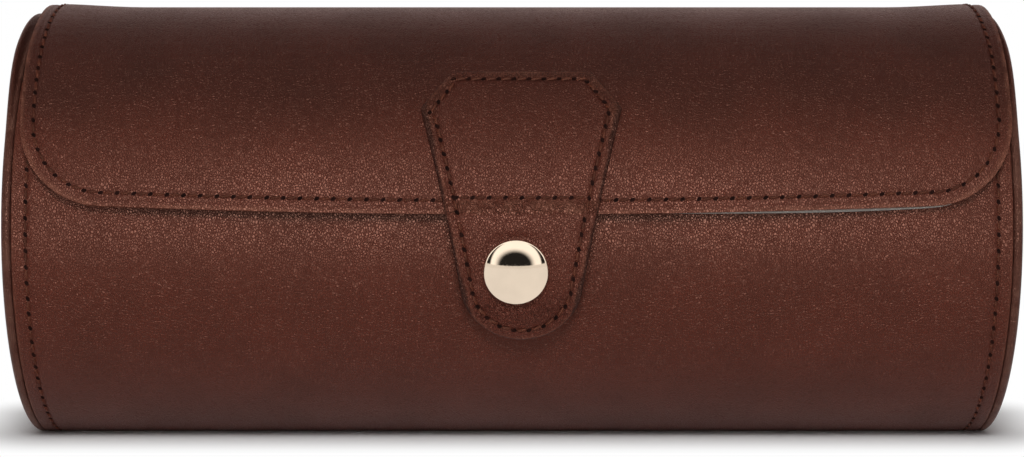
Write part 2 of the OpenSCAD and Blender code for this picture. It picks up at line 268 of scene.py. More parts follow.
    @staticmethod
    def unroll(obj: Piece, flat: Corners) -> None:
        """Writes the flat place of each vertex as the piece's own map, in metres.

        Args:
            obj: The piece.
            flat: Flat place of each vertex.
        """
        while obj.data.uv_layers:
            obj.data.uv_layers.remove(obj.data.uv_layers[0])
        layer = obj.data.uv_layers.new(name="unrolled")
        for loop in obj.data.loops:
            layer.data[loop.index].uv = flat[loop.vertex_index]

    @staticmethod
    def round_rim(obj: Piece, radius: float, segments: int) -> None:
        """Rounds the sharp rim edges of a thick sheet.

        Args:
            obj: The piece.
            radius: Width of the rounding.
            segments: Steps of the rounding.
        """
        Bench.apply(
            obj, "BEVEL", width=radius, segments=segments, limit_method="ANGLE", angle_limit=math.radians(60),
            use_clamp_overlap=True, harden_normals=False,
        )


def smoothstep(low: float, high: float, value: float) -> float:
    """Gives 0 below low, 1 above high and a smooth rise between.

    Args:
        low: Where the rise starts.
        high: Where it ends.
        value: Where it is read.

    Returns:
        A number from 0 to 1.
    """
    t = min(max((value - low) / (high - low), 0.0), 1.0)
    return t * t * (3.0 - 2.0 * t)


def hump(centre: float, width: float, value: float) -> float:
    """Gives a bell curve of height 1.

    Args:
        centre: Middle of the bell.
        width: Distance at which it has fallen to about a third.
        value: Where it is read.

    Returns:
        A number from 0 to 1.
    """
    return math.exp(-(((value - centre) / width) ** 2))


def mark_at(marks: Sequence[Item], across: float) -> Item:
    """Gives the mark of the column or row that a vertex of a flat sheet is in.

    Args:
        marks: One mark for each column or row.
        across: Place of the vertex on the sheet, from -1 to 1.

    Returns:
        The mark.
    """
    return marks[round((across + 1.0) / 2.0 * (len(marks) - 1))]


def both_ways(right: Sequence[float]) -> list[float]:
    """Spaces columns from end to end as they are spaced on the right half."""
    return [-c for c in right] + list(reversed(right[:-1]))


# --- sizes


@dataclass(frozen=True)
class Roll:
    """The case as a roll round an axis along X; lengths in metres, angles in degrees.

    Angles run from 0 at the front over 90 on top to 180 at the back. Rows of a lid
    sheet follow its front outline up to the angle level.
    """

    axis_z: float = 43.986 * MM
    body_r: float = 45.0 * MM
    wrap_half: float = 101.5 * MM
    lid_half: float = 100.5 * MM
    lid_r: float = 48.3 * MM
    lid_back: float = 134.0
    wall_back: float = 146.0
    mouth_front: float = 48.0
    edge_z: float = 7.556 * MM
    edge_bow: float = 2.4 * MM
    corner_r: float = 17.0 * MM
    flare: float = 0.9 * MM
    flare_rise: tuple[float, float] = (15.0, 60.0)
    flare_fall: tuple[float, float] = (108.0, 132.0)
    shift: float = 0.8 * MM
    level: float = 46.0

    def at(self, x: float, deg: float, r: float) -> Vector:
        """Gives a point of the roll.

        Args:
            x: Place along the case.
            deg: Angle.
            r: Distance from the axis.

        Returns:
            The point.
        """
        a = math.radians(deg)
        return Vector((x, -r * math.cos(a), self.axis_z + r * math.sin(a)))

    def out(self, deg: float) -> Vector:
        """Gives the outward direction at an angle."""
        a = math.radians(deg)
        return Vector((0.0, -math.cos(a), math.sin(a)))

    def edge_height(self, x: float) -> float:
        """Gives the height of the lid's bowed front edge over the axis."""
        return self.edge_z + self.edge_bow * (x / self.lid_half) ** 2

    def front_height(self, x: float, inset: float = 0.0) -> float:
        """Gives the height of the lid's outline over the axis, corners included.

        Args:
            x: Place along the case.
            inset: Distance inside the outline.

        Returns:
            The height over the axis.
        """
        corner = self.corner_r - inset
        flat = self.lid_half - self.corner_r
        over = abs(x) - flat
        if over <= 0.0:
            return self.edge_height(x) + inset
        over = min(over, corner)
        middle = self.edge_height(flat) + inset + corner
        return middle - math.sqrt(max(corner * corner - over * over, 0.0))

    def sideways(self, x: float, deg: float) -> float:
        """Gives where a spot of the lid lies along the case, closed a little off centre.

        Args:
            x: Place along a straight lid.
            deg: Angle.

        Returns:
            The place along the case.
        """
        over = 1.0 - smoothstep(*self.flare_fall, deg)
        rise = smoothstep(*self.flare_rise, deg) * over
        return x * (1.0 + rise * self.flare / self.lid_half) + self.shift * over


ROLL = Roll()


class Row(Enum):
    """How a row of a lid sheet is laid."""

    EDGE = "edge"
    ANGLE = "angle"


def row_angle(row: tuple[Row, float], low: float, reach: float) -> float:
    """Gives the angle of a row: near the lid's front it follows the outline.

    Args:
        row: How the row is laid, and its share of the reach or its angle.
        low: Angle of the outline at this place.
        reach: The share at which the rows are level.

    Returns:
        The angle.
    """
    kind, value = row
    return low + (ROLL.level - low) * value / reach if kind is Row.EDGE else value


# --- finishes


class Group:
    """Builds a shader node group with named inputs and outputs."""

    def __init__(self, name: str) -> None:
        """Starts an empty group."""
        self.tree = bpy.data.node_groups.new(name, "ShaderNodeTree")
        self.start = self.tree.nodes.new("NodeGroupInput")
        self.end = self.tree.nodes.new("NodeGroupOutput")

    def takes(self, name: str, kind: str, value: object = None) -> None:
        """Adds an input.

        Args:
            name: Name of the socket.
            kind: Float, Vector or Color.
            value: Its first value.
        """
        socket = self.tree.interface.new_socket(name, in_out="INPUT", socket_type="NodeSocket" + kind)
        if value is not None:
            socket.default_value = value

    def gives(self, name: str, kind: str = "Float") -> None:
        """Adds an output."""
        self.tree.interface.new_socket(name, in_out="OUTPUT", socket_type="NodeSocket" + kind)


class Wires:
    """Adds nodes to a tree and joins them."""

    def __init__(self, tree: bpy.types.NodeTree) -> None:
        """Works on one node tree."""
        self.tree = tree

    def feed(self, socket: Socket, value: object) -> None:
        """Links a socket to an output, or sets its value.

        Args:
            socket: The input to fill.
            value: An output socket or a plain value.
        """
        if isinstance(value, Socket):
            self.tree.links.new(value, socket)
        elif value is not None:
            socket.default_value = value

    def node(self, kind: str, inputs: dict | None = None, **settings: object) -> bpy.types.Node:
        """Adds a node.

        Args:
            kind: Type of the node, without its ShaderNode prefix.
            inputs: Values or links by the name of the input.
            settings: Properties of the node.

        Returns:
            The node.
        """
        node = self.tree.nodes.new("ShaderNode" + kind)
        for key, value in settings.items():
            setattr(node, key, value)
        for key, value in (inputs or {}).items():
            self.feed(node.inputs[key], value)
        return node

    def math(self, operation: str, a: object, b: object = None, c: object = None) -> Socket:
        """Adds a Math node.

        Args:
            operation: Name of the operation.
            a: First value.
            b: Second value.
            c: Third value.

        Returns:
            Its output.
        """
        node = self.node("Math", operation=operation)
        for socket, value in zip(node.inputs, (a, b, c)):
            self.feed(socket, value)
        return node.outputs[0]

    def times(self, a: object, b: object) -> Socket:
        """Multiplies two values."""
        return self.math("MULTIPLY", a, b)

    def span(self, value: object, low: float, high: float, to_low: float, to_high: float) -> Socket:
        """Maps a range to another, smoothly and clamped.

        Args:
            value: What is mapped.
            low: Start of its range.
            high: End of its range.
            to_low: Result at the start.
            to_high: Result at the end.

        Returns:
            The mapped value.
        """
        node = self.node("MapRange", interpolation_type="SMOOTHSTEP")
        for socket, number in zip(node.inputs, (value, low, high, to_low, to_high)):
            self.feed(socket, number)
        return node.outputs[0]

    def vector(self, operation: str, a: object, b: object = None) -> Socket:
        """Adds a Vector Math node and gives its vector."""
        return self.node("VectorMath", {0: a, 1: b}, operation=operation).outputs[0]

    def noise(self, vector: object, scale: object, detail: float, distortion: float = 0.0) -> bpy.types.Node:
        """Adds a noise texture.

        Args:
            vector: Where it is read.
            scale: Its spots in a metre.
            detail: Finer layers.
            distortion: Its warp.

        Returns:
            The node.
        """
        inputs = {"Vector": vector, "Scale": scale, "Detail": detail, "Distortion": distortion}
        return self.node("TexNoise", inputs)

    def mix(self, share: object, a: object, b: object) -> Socket:
        """Mixes two colours.

        Args:
            share: Share of the second colour.
            a: First colour.
            b: Second colour.

        Returns:
            The mixed colour.
        """
        node = self.node("Mix", data_type="RGBA")
        self.feed(node.inputs["Factor"], share)
        self.feed(node.inputs[6], a)
        self.feed(node.inputs[7], b)
        return node.outputs[2]


def rgb(red: float, green: float, blue: float) -> Colour:
    """Turns a screen colour from 0 to 255 into the linear colour of a socket.

    Args:
        red: Red.
        green: Green.
        blue: Blue.

    Returns:
        The linear colour with alpha 1.
    """

    def linear(value: float) -> float:
        """Undoes the screen curve for one channel."""
        share = value / 255.0
        return share / 12.92 if share <= 0.04045 else ((share + 0.055) / 1.055) ** 2.4

    return linear(red), linear(green), linear(blue), 1.0


class Effects:
    """Shared effects, each a node group that is built once."""

    def __init__(self) -> None:
        """Builds the groups."""
        self.grain = self._grain()
        self.nap = self._nap()
        self.wear = self._wear()

    @staticmethod
    def _grain() -> bpy.types.NodeTree:
        """Builds the fine pebbled grain of pressed cowhide.

        Returns:
            The group, with Height, Pit and Tone.
        """
        group = Group("cowhide_grain")
        group.takes("Vector", "Vector")
        group.takes("Cells", "Float", 1800.0)
        group.takes("Stretch", "Float", 0.75)
        group.takes("Crease", "Float", 0.0)
        for name in ("Height", "Pit", "Tone"):
            group.gives(name)
        w = Wires(group.tree)
        i, o = group.start.outputs, group.end.inputs
        size = w.node("CombineXYZ", {"X": 1.0, "Y": i["Stretch"], "Z": 1.0}).outputs[0]
        lay = {"Vector": i["Vector"], "Rotation": (0.0, 0.0, 0.55), "Scale": size}
        turned = w.node("Mapping", lay).outputs[0]
        wander = w.noise(turned, scale=420.0, detail=1.0)
        centred = w.vector("SUBTRACT", wander.outputs["Color"], (0.5, 0.5, 0.5))
        pushed = w.node("VectorMath", {0: centred, "Scale": 0.0011}, operation="SCALE")
        spot = w.vector("ADD", turned, pushed.outputs[0])
        cells = w.node("TexVoronoi", {"Vector": spot, "Scale": i["Cells"]}, feature="DISTANCE_TO_EDGE")
        pebble = w.span(cells.outputs["Distance"], 0.0, 0.22, 0.0, 1.0)
        lumps = w.noise(turned, scale=980.0, detail=2.0)
        wide = w.noise(i["Vector"], scale=55.0, detail=3.0)
        fold = w.noise(turned, scale=1150.0, detail=1.0, distortion=0.8)
        sharp = w.math("ABSOLUTE", w.math("SUBTRACT", fold.outputs["Fac"], 0.5))
        creased = w.times(w.span(sharp, 0.0, 0.10, -1.0, 0.0), i["Crease"])
        body = w.math("ADD", w.times(pebble, 0.65), w.times(lumps.outputs["Fac"], 0.8))
        w.feed(o["Height"], w.math("MULTIPLY_ADD", creased, 2.2, body))
        w.feed(o["Pit"], w.math("SUBTRACT", 1.0, pebble))
        w.feed(o["Tone"], w.span(wide.outputs["Fac"], 0.3, 0.7, 0.0, 1.0))
        return group.tree

    @staticmethod
    def _nap() -> bpy.types.NodeTree:
        """Builds the short brushed nap of suede.

        Returns:
            The group, with Height, Shade and Blotch.
        """
        group = Group("suede_nap")
        group.takes("Vector", "Vector")
        group.takes("Fibres", "Float", 3200.0)
        for name in ("Height", "Shade", "Blotch"):
            group.gives(name)
        w = Wires(group.tree)
        i, o = group.start.outputs, group.end.inputs
        hair = w.noise(i["Vector"], scale=i["Fibres"], detail=2.0, distortion=0.6)
        tuft = w.noise(i["Vector"], scale=700.0, detail=2.0)
        hand = w.noise(i["Vector"], scale=42.0, detail=3.0, distortion=1.5)
        both = w.math("MULTIPLY_ADD", tuft.outputs["Fac"], 0.6, hair.outputs["Fac"])
        w.feed(o["Height"], both)
        w.feed(o["Shade"], w.span(both, 0.55, 1.05, 0.0, 1.0))
        w.feed(o["Blotch"], w.span(hand.outputs["Fac"], 0.42, 0.6, 0.0, 1.0))
        return group.tree

    @staticmethod
    def _wear() -> bpy.types.NodeTree:
        """Builds rubbed edges from a mask of nearness to an edge; the same mask also carries painted
        highlights.

        Returns:
            The group, with Rub.
        """
        group = Group("edge_rub_and_highlight")
        group.takes("Vector", "Vector")
        group.takes("Edge", "Float", 0.0)
        group.takes("Amount", "Float", 0.5)
        group.gives("Rub")
        w = Wires(group.tree)
        i, o = group.start.outputs, group.end.inputs
        patch = w.noise(i["Vector"], scale=260.0, detail=4.0)
        rough = w.span(patch.outputs["Fac"], 0.35, 0.65, 0.25, 1.0)
        w.feed(o["Rub"], w.times(w.times(i["Edge"], rough), i["Amount"]))
        return group.tree


EFFECTS = Effects()


class Finish:
    """Base of all finishes: makes a material around one shader."""

    name: str

    def begin(self) -> tuple[bpy.types.Material, Wires, bpy.types.Node]:
        """Starts a material.

        Returns:
            The material, its wires and its shader node.
        """
        material = bpy.data.materials.new(self.name)
        material.use_nodes = True
        material.node_tree.nodes.clear()
        w = Wires(material.node_tree)
        shader = w.node("BsdfPrincipled")
        out = w.node("OutputMaterial")
        w.feed(out.inputs["Surface"], shader.outputs[0])
        return material, w, shader

    def bump(self, w: Wires, shader: bpy.types.Node, height: object, depth: float) -> None:
        """Feeds a height to the shader's normal.

        Args:
            w: Wires of the material.
            shader: Its shader.
            height: Height from 0 to 1.
            depth: What a height of 1 is in metres.
        """
        node = w.node("Bump", {"Strength": 1.0, "Distance": depth, "Height": height})
        w.feed(shader.inputs["Normal"], node.outputs[0])

    def make(self) -> bpy.types.Material:
        """Builds the material."""
        raise NotImplementedError


def darker(colour: Colour, share: float) -> Colour:
    """Scales a colour down and keeps it opaque."""
    return tuple(share * c for c in colour[:3]) + (1.0,)


def attribute(w: Wires, name: str) -> Socket:
    """Reads a float attribute of the mesh."""
    return w.node("Attribute", attribute_name=name).outputs["Fac"]


@dataclass(frozen=True)
class Leather(Finish):
    """Pressed cowhide with a fine grain, rubbed lighter along its edges; its shade attribute paints shade
    into the colour and its edge mask also paints highlights on.
    """

    name: str
    colour: Colour
    deep: Colour
    rub_and_highlight: Colour
    unrolled: bool = True
    cells: float = 2300.0
    depth: float = 0.13 * MM
    roughness: float = 0.35
    gloss: float = 0.16
    tint: Colour = (1.0, 0.52, 0.38, 1.0)
    wear: float = 0.6
    patina: float = 0.22
    pit_dark: float = 0.4
    pit_rough: float = 0.16
    tone_rough: float = 0.05

    def make(self) -> bpy.types.Material:
        """Builds the material.

        Returns:
            The leather.
        """
        material, w, shader = self.begin()
        if self.unrolled:
            vector = w.node("UVMap", uv_map="unrolled").outputs[0]
        else:
            vector = w.node("TexCoord").outputs["Object"]
        pressed = {"Vector": vector, "Cells": self.cells, "Crease": attribute(w, "crease")}
        grain = w.node("Group", pressed, node_tree=EFFECTS.grain)
        # The edge mask gives rubbed wear and, on the tab's bend and the end caps' rims, a painted highlight
        # in the lighter colour.
        worn_and_lit = {"Vector": vector, "Edge": attribute(w, "edge"), "Amount": self.wear}
        rub = w.node("Group", worn_and_lit, node_tree=EFFECTS.wear)
        # Random patina tone plus the shade attribute; that attribute is painted shade, and on the tab's cut
        # edge partly edge paint.
        patina_and_shade = w.math("MULTIPLY_ADD", grain.outputs["Tone"], self.patina, attribute(w, "shade"))
        even = w.mix(patina_and_shade, self.colour, self.deep)
        pitted = w.mix(w.times(grain.outputs["Pit"], self.pit_dark), even, self.deep)
        w.feed(shader.inputs["Base Color"], w.mix(rub.outputs["Rub"], pitted, self.rub_and_highlight))
        rough = w.math("MULTIPLY_ADD", grain.outputs["Pit"], self.pit_rough, self.roughness)
        rough = w.math("MULTIPLY_ADD", grain.outputs["Tone"], self.tone_rough, rough)
        w.feed(shader.inputs["Roughness"], rough)
        shader.inputs["Specular IOR Level"].default_value = self.gloss
        shader.inputs["Specular Tint"].default_value = self.tint
        self.bump(w, shader, grain.outputs["Height"], self.depth)
        return material


@dataclass(frozen=True)
class Suede(Finish):
    """Suede with a short nap and brushed lighter patches."""

    name: str
    colour: Colour
    brushed: Colour
    depth: float = 0.12 * MM
    blotched: float = 0.55
    napped: float = 0.85
    shadow: float = 0.78

    def make(self) -> bpy.types.Material:
        """Builds the material.

        Returns:
            The suede.
        """
        material, w, shader = self.begin()
        vector = w.node("TexCoord").outputs["Object"]
        nap = w.node("Group", {"Vector": vector}, node_tree=EFFECTS.nap)
        base = w.mix(w.times(nap.outputs["Blotch"], self.blotched), self.colour, self.brushed)
        lit = w.times(nap.outputs["Shade"], self.napped)
        w.feed(shader.inputs["Base Color"], w.mix(lit, darker(self.colour, self.shadow), base))
        w.feed(shader.inputs["Roughness"], w.span(nap.outputs["Shade"], 0.0, 1.0, 1.0, 0.86))
        shader.inputs["Sheen Weight"].default_value = 0.35
        shader.inputs["Sheen Roughness"].default_value = 0.45
        shader.inputs["Specular IOR Level"].default_value = 0.2
        self.bump(w, shader, nap.outputs["Height"], self.depth)
        return material


@dataclass(frozen=True)
class Metal(Finish):
    """Polished or brushed metal with faint wear."""

    name: str
    colour: Colour
    roughness: float
    scratch: float = 0.10
    tarnish: float = 0.86
    depth: float = 0.0008 * MM

    def make(self) -> bpy.types.Material:
        """Builds the material.

        Returns:
            The metal.
        """
        material, w, shader = self.begin()
        vector = w.node("TexCoord").outputs["Object"]
        fine = w.noise(vector, scale=2600.0, detail=3.0)
        cloud = w.noise(vector, scale=160.0, detail=2.0)
        dulled = w.span(cloud.outputs["Fac"], 0.35, 0.75, 0.0, 0.6)
        w.feed(shader.inputs["Base Color"], w.mix(dulled, self.colour, darker(self.colour, self.tarnish)))
        marks = w.times(w.span(fine.outputs["Fac"], 0.45, 0.75, 0.0, 1.0), self.scratch)
        w.feed(shader.inputs["Roughness"], w.math("ADD", marks, self.roughness))
        shader.inputs["Metallic"].default_value = 1.0
        self.bump(w, shader, fine.outputs["Fac"], self.depth)
        return material


@dataclass(frozen=True)
class Thread(Finish):
    """Twisted, waxed sewing thread."""

    name: str
    colour: Colour
    light: Colour
    depth: float = 0.05 * MM

    def make(self) -> bpy.types.Material:
        """Builds the material.

        Returns:
            The thread.
        """
        material, w, shader = self.begin()
        vector = w.node("TexCoord").outputs["Object"]
        twist = w.node(
            "TexWave", {"Vector": vector, "Scale": 1500.0, "Distortion": 1.5}, bands_direction="DIAGONAL"
        )
        spots = w.noise(vector, scale=240.0, detail=2.0)
        shade = w.times(twist.outputs["Fac"], w.span(spots.outputs["Fac"], 0.35, 0.65, 0.3, 1.0))
        w.feed(shader.inputs["Base Color"], w.mix(shade, self.colour, self.light))
        w.feed(shader.inputs["Roughness"], w.span(shade, 0.0, 1.0, 0.62, 0.42))
        shader.inputs["Specular IOR Level"].default_value = 0.1
        shader.inputs["Specular Tint"].default_value = (1.0, 0.7, 0.5, 1.0)
        self.bump(w, shader, twist.outputs["Fac"], self.depth)
        return material


@dataclass(frozen=True)
class Plain(Finish):
    """Matt stuff with a speckle, such as board, foam or a needle hole."""

    name: str
    colour: Colour
    speck: Colour
    scale: float = 900.0
    depth: float = 0.05 * MM

    def make(self) -> bpy.types.Material:
        """Builds the material.

        Returns:
            The matt stuff.
        """
        material, w, shader = self.begin()
        vector = w.node("TexCoord").outputs["Object"]
        dots = w.noise(vector, scale=self.scale, detail=4.0)
        share = w.span(dots.outputs["Fac"], 0.35, 0.7, 0.0, 1.0)
        w.feed(shader.inputs["Base Color"], w.mix(share, self.colour, self.speck))
        w.feed(shader.inputs["Roughness"], w.span(share, 0.0, 1.0, 0.8, 0.95))
        shader.inputs["Specular IOR Level"].default_value = 0.02
        self.bump(w, shader, dots.outputs["Fac"], self.depth)
        return material


HIDE = Leather("brown_cowhide", rgb(98, 46, 35), rgb(45, 19, 15), rgb(140, 88, 70))
END_HIDE = Leather("end_cowhide", rgb(80, 41, 33), rgb(48, 22, 17), rgb(120, 83, 70), unrolled=False)
BACKING = Leather(
    "backing_hide", rgb(64, 34, 28), rgb(44, 22, 18), rgb(98, 64, 53), unrolled=False, roughness=0.6
)
LINING = Suede("grey_suede", rgb(186, 180, 172), rgb(208, 203, 196))
CUSHION = Suede("pillow_suede_nap", rgb(190, 184, 176), rgb(212, 207, 200))
CAP = Metal("cap_gold_polish", rgb(230, 211, 189), 0.05)
STEEL = Metal("snap_steel_satin", rgb(188, 186, 182), 0.24)
DARK = Metal("magnet_nickel", rgb(108, 107, 108), 0.34)
THREAD = Thread("waxed_thread", rgb(66, 28, 21), rgb(118, 62, 45))
PALE_THREAD = Thread("lining_thread", rgb(150, 142, 132), rgb(196, 190, 182))
# Needle holes: painted shadow, a dark colour on a shallow dish in place of the shade inside a hole.
HOLE_SHADOW = Plain("needle_hole_shadow", rgb(42, 18, 13), rgb(26, 11, 8))
BOARD = Plain("grey_board", rgb(150, 132, 108), rgb(122, 106, 86))
FOAM = Plain("cut_foam", rgb(226, 218, 196), rgb(206, 196, 172), scale=1500.0, depth=0.3 * MM)


class Paints:
    """Keeps one material for each finish."""

    def __init__(self) -> None:
        """Starts with none."""
        self.made: dict[str, bpy.types.Material] = {}

    def on(self, obj: Piece, finish: Finish) -> None:
        """Gives an object one finish.

        Args:
            obj: The piece.
            finish: Its finish.
        """
        if finish.name not in self.made:
            self.made[finish.name] = finish.make()
        obj.data.materials.clear()
        obj.data.materials.append(self.made[finish.name])


PAINTS = Paints()


def mask(obj: Piece, name: str, values: Sequence[float] = ()) -> None:
    """Stores a number at each vertex for the finishes to read.

    Args:
        obj: The piece.
        name: Name of the attribute.
        values: One number for each vertex, or none for 0 all over.
    """
    layer = obj.data.attributes.new(name, "FLOAT", "POINT")
    if values:
        layer.data.foreach_set("value", values)


# --- outer hide


@dataclass(frozen=True)
class Step:
    """One spot of a seam: its place, the way along it and the way out."""

    place: Vector
    along: Vector
    out: Vector


@dataclass
class Seam:
    """A row of stitches: threads that dip into needle holes."""

    name: str
    pitch: float = 3.35 * MM
    thread: float = 0.62 * MM
    length: float = 2.45 * MM
    hole: float = 1.0 * MM
    sunk: float = 0.07 * MM
    lift: float = 0.08 * MM
    slant: float = 0.12
    hole_oval: tuple[float, float, float] = (1.15, 0.78, 1.0)
    hole_sunk: float = 0.05 * MM

    def spread(self, spots: Line) -> list[Step]:
        """Spaces stitches evenly along a dense line.

        Args:
            spots: Place and outward direction of each spot of the line.

        Returns:
            The middle of each stitch.
        """
        reach = [0.0]
        for (a, _), (b, _) in zip(spots, spots[1:]):
            reach.append(reach[-1] + (b - a).length)
        count = max(int(round(reach[-1] / self.pitch)), 1)
        steps: list[Step] = []
        j = 0
        for i in range(count):
            want = (i + 0.5) * reach[-1] / count
            while reach[j + 1] < want:
                j += 1
            t = (want - reach[j]) / (reach[j + 1] - reach[j])
            (a, na), (b, nb) = spots[j], spots[j + 1]
            steps.append(Step(a.lerp(b, t), (b - a).normalized(), na.lerp(nb, t).normalized()))
        return steps

    def _stitch(self) -> Piece:
        """Models one stitch along X: an arched thread with both ends going down.

        Returns:
            The stitch at the origin.
        """
        Bench.clear()
        r = self.thread / 2
        half = self.length / 2
        bpy.ops.mesh.primitive_circle_add(
            vertices=6, radius=r * 0.45, fill_type="NGON",
            location=(-half, 0, -r * 1.1), rotation=(0, math.pi / 2, 0),
        )
        obj = Bench.name("stitch")
        Bench.settle(obj)
        Bench.edit(obj)
        # Each hop: run in stitch lengths, rise in thread radii, change of girth.
        hops = ((0.10, 1.1, 1.9), (0.22, 0.45, 1.2), (0.36, 0.1, 1.0), (0.22, -0.45, 0.83), (0.10, -1.1, 0.5))
        for run, rise, swell in hops:
            bpy.ops.mesh.extrude_region_move(
                TRANSFORM_OT_translate={"value": (run * self.length, 0.0, rise * r)}
            )
            bpy.ops.transform.resize(value=(1.0, swell, swell))
        Bench.done()
        return obj

    def _hole(self) -> Piece:
        """Models one needle hole: a shallow dish that faces up Z.

        Returns:
            The hole at the origin.
        """
        Bench.clear()
        bpy.ops.mesh.primitive_circle_add(
            vertices=8, radius=self.hole / 2, fill_type="NGON", location=(0, 0, self.lift)
        )
        obj = Bench.name("hole")
        obj.scale = self.hole_oval
        Bench.settle(obj)
        Bench.edit(obj)
        bpy.ops.mesh.inset(thickness=self.hole * 0.17, depth=0.0)
        bpy.ops.mesh.inset(thickness=self.hole * 0.16, depth=-self.hole_sunk)
        Bench.done()
        return obj

    @staticmethod
    def _rows(model: Piece, name: str, turns: Sequence[Matrix]) -> Piece:
        """Copies a small model to many places and joins the copies.

        Args:
            model: What is repeated; it is used up.
            name: Name of the joined piece.
            turns: Where each copy goes.

        Returns:
            The joined piece.
        """
        copies = [Bench.twin(model) for _ in turns]
        for copy, turn in zip(copies, turns):
            copy.data.transform(turn)
        bpy.data.objects.remove(model)
        first = copies[0]
        Bench.weld(first, copies[1:])
        first.name = name
        first.data.name = name
        return first

    def sew(self, lines: Sequence[Line], body: str, thread: Finish) -> None:
        """Sews along lines.

        Args:
            lines: Dense lines of place and outward direction.
            body: Body that the seam rides on.
            thread: Finish of the thread.
        """
        turns: list[Matrix] = []
        holes: list[Matrix] = []
        for spots in lines:
            for step in self.spread(spots):
                across = step.out.cross(step.along).normalized()
                basis = Matrix((step.along, across, step.out)).transposed().to_4x4()
                seat = Matrix.Translation(step.place - step.out * self.sunk)
                turns.append(seat @ basis @ Matrix.Rotation(self.slant, 4, "Z"))
                back = Matrix.Translation(step.place - step.along * (self.pitch / 2))
                holes.append(back @ basis @ Matrix.Rotation(4.0 * self.slant, 4, "Z"))
        threads = self._rows(self._stitch(), self.name + "_thread", turns)
        Bench.outward(threads)
        Bench.smooth(threads, 60)
        PAINTS.on(threads, thread)
        punched = self._rows(self._hole(), self.name + "_holes", holes)
        # The holes' dark colour is painted shadow.
        PAINTS.on(punched, HOLE_SHADOW)
        for piece in (threads, punched):
            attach(piece, body)
            LOG.info("seam %s: %d faces", piece.name, len(piece.data.polygons))


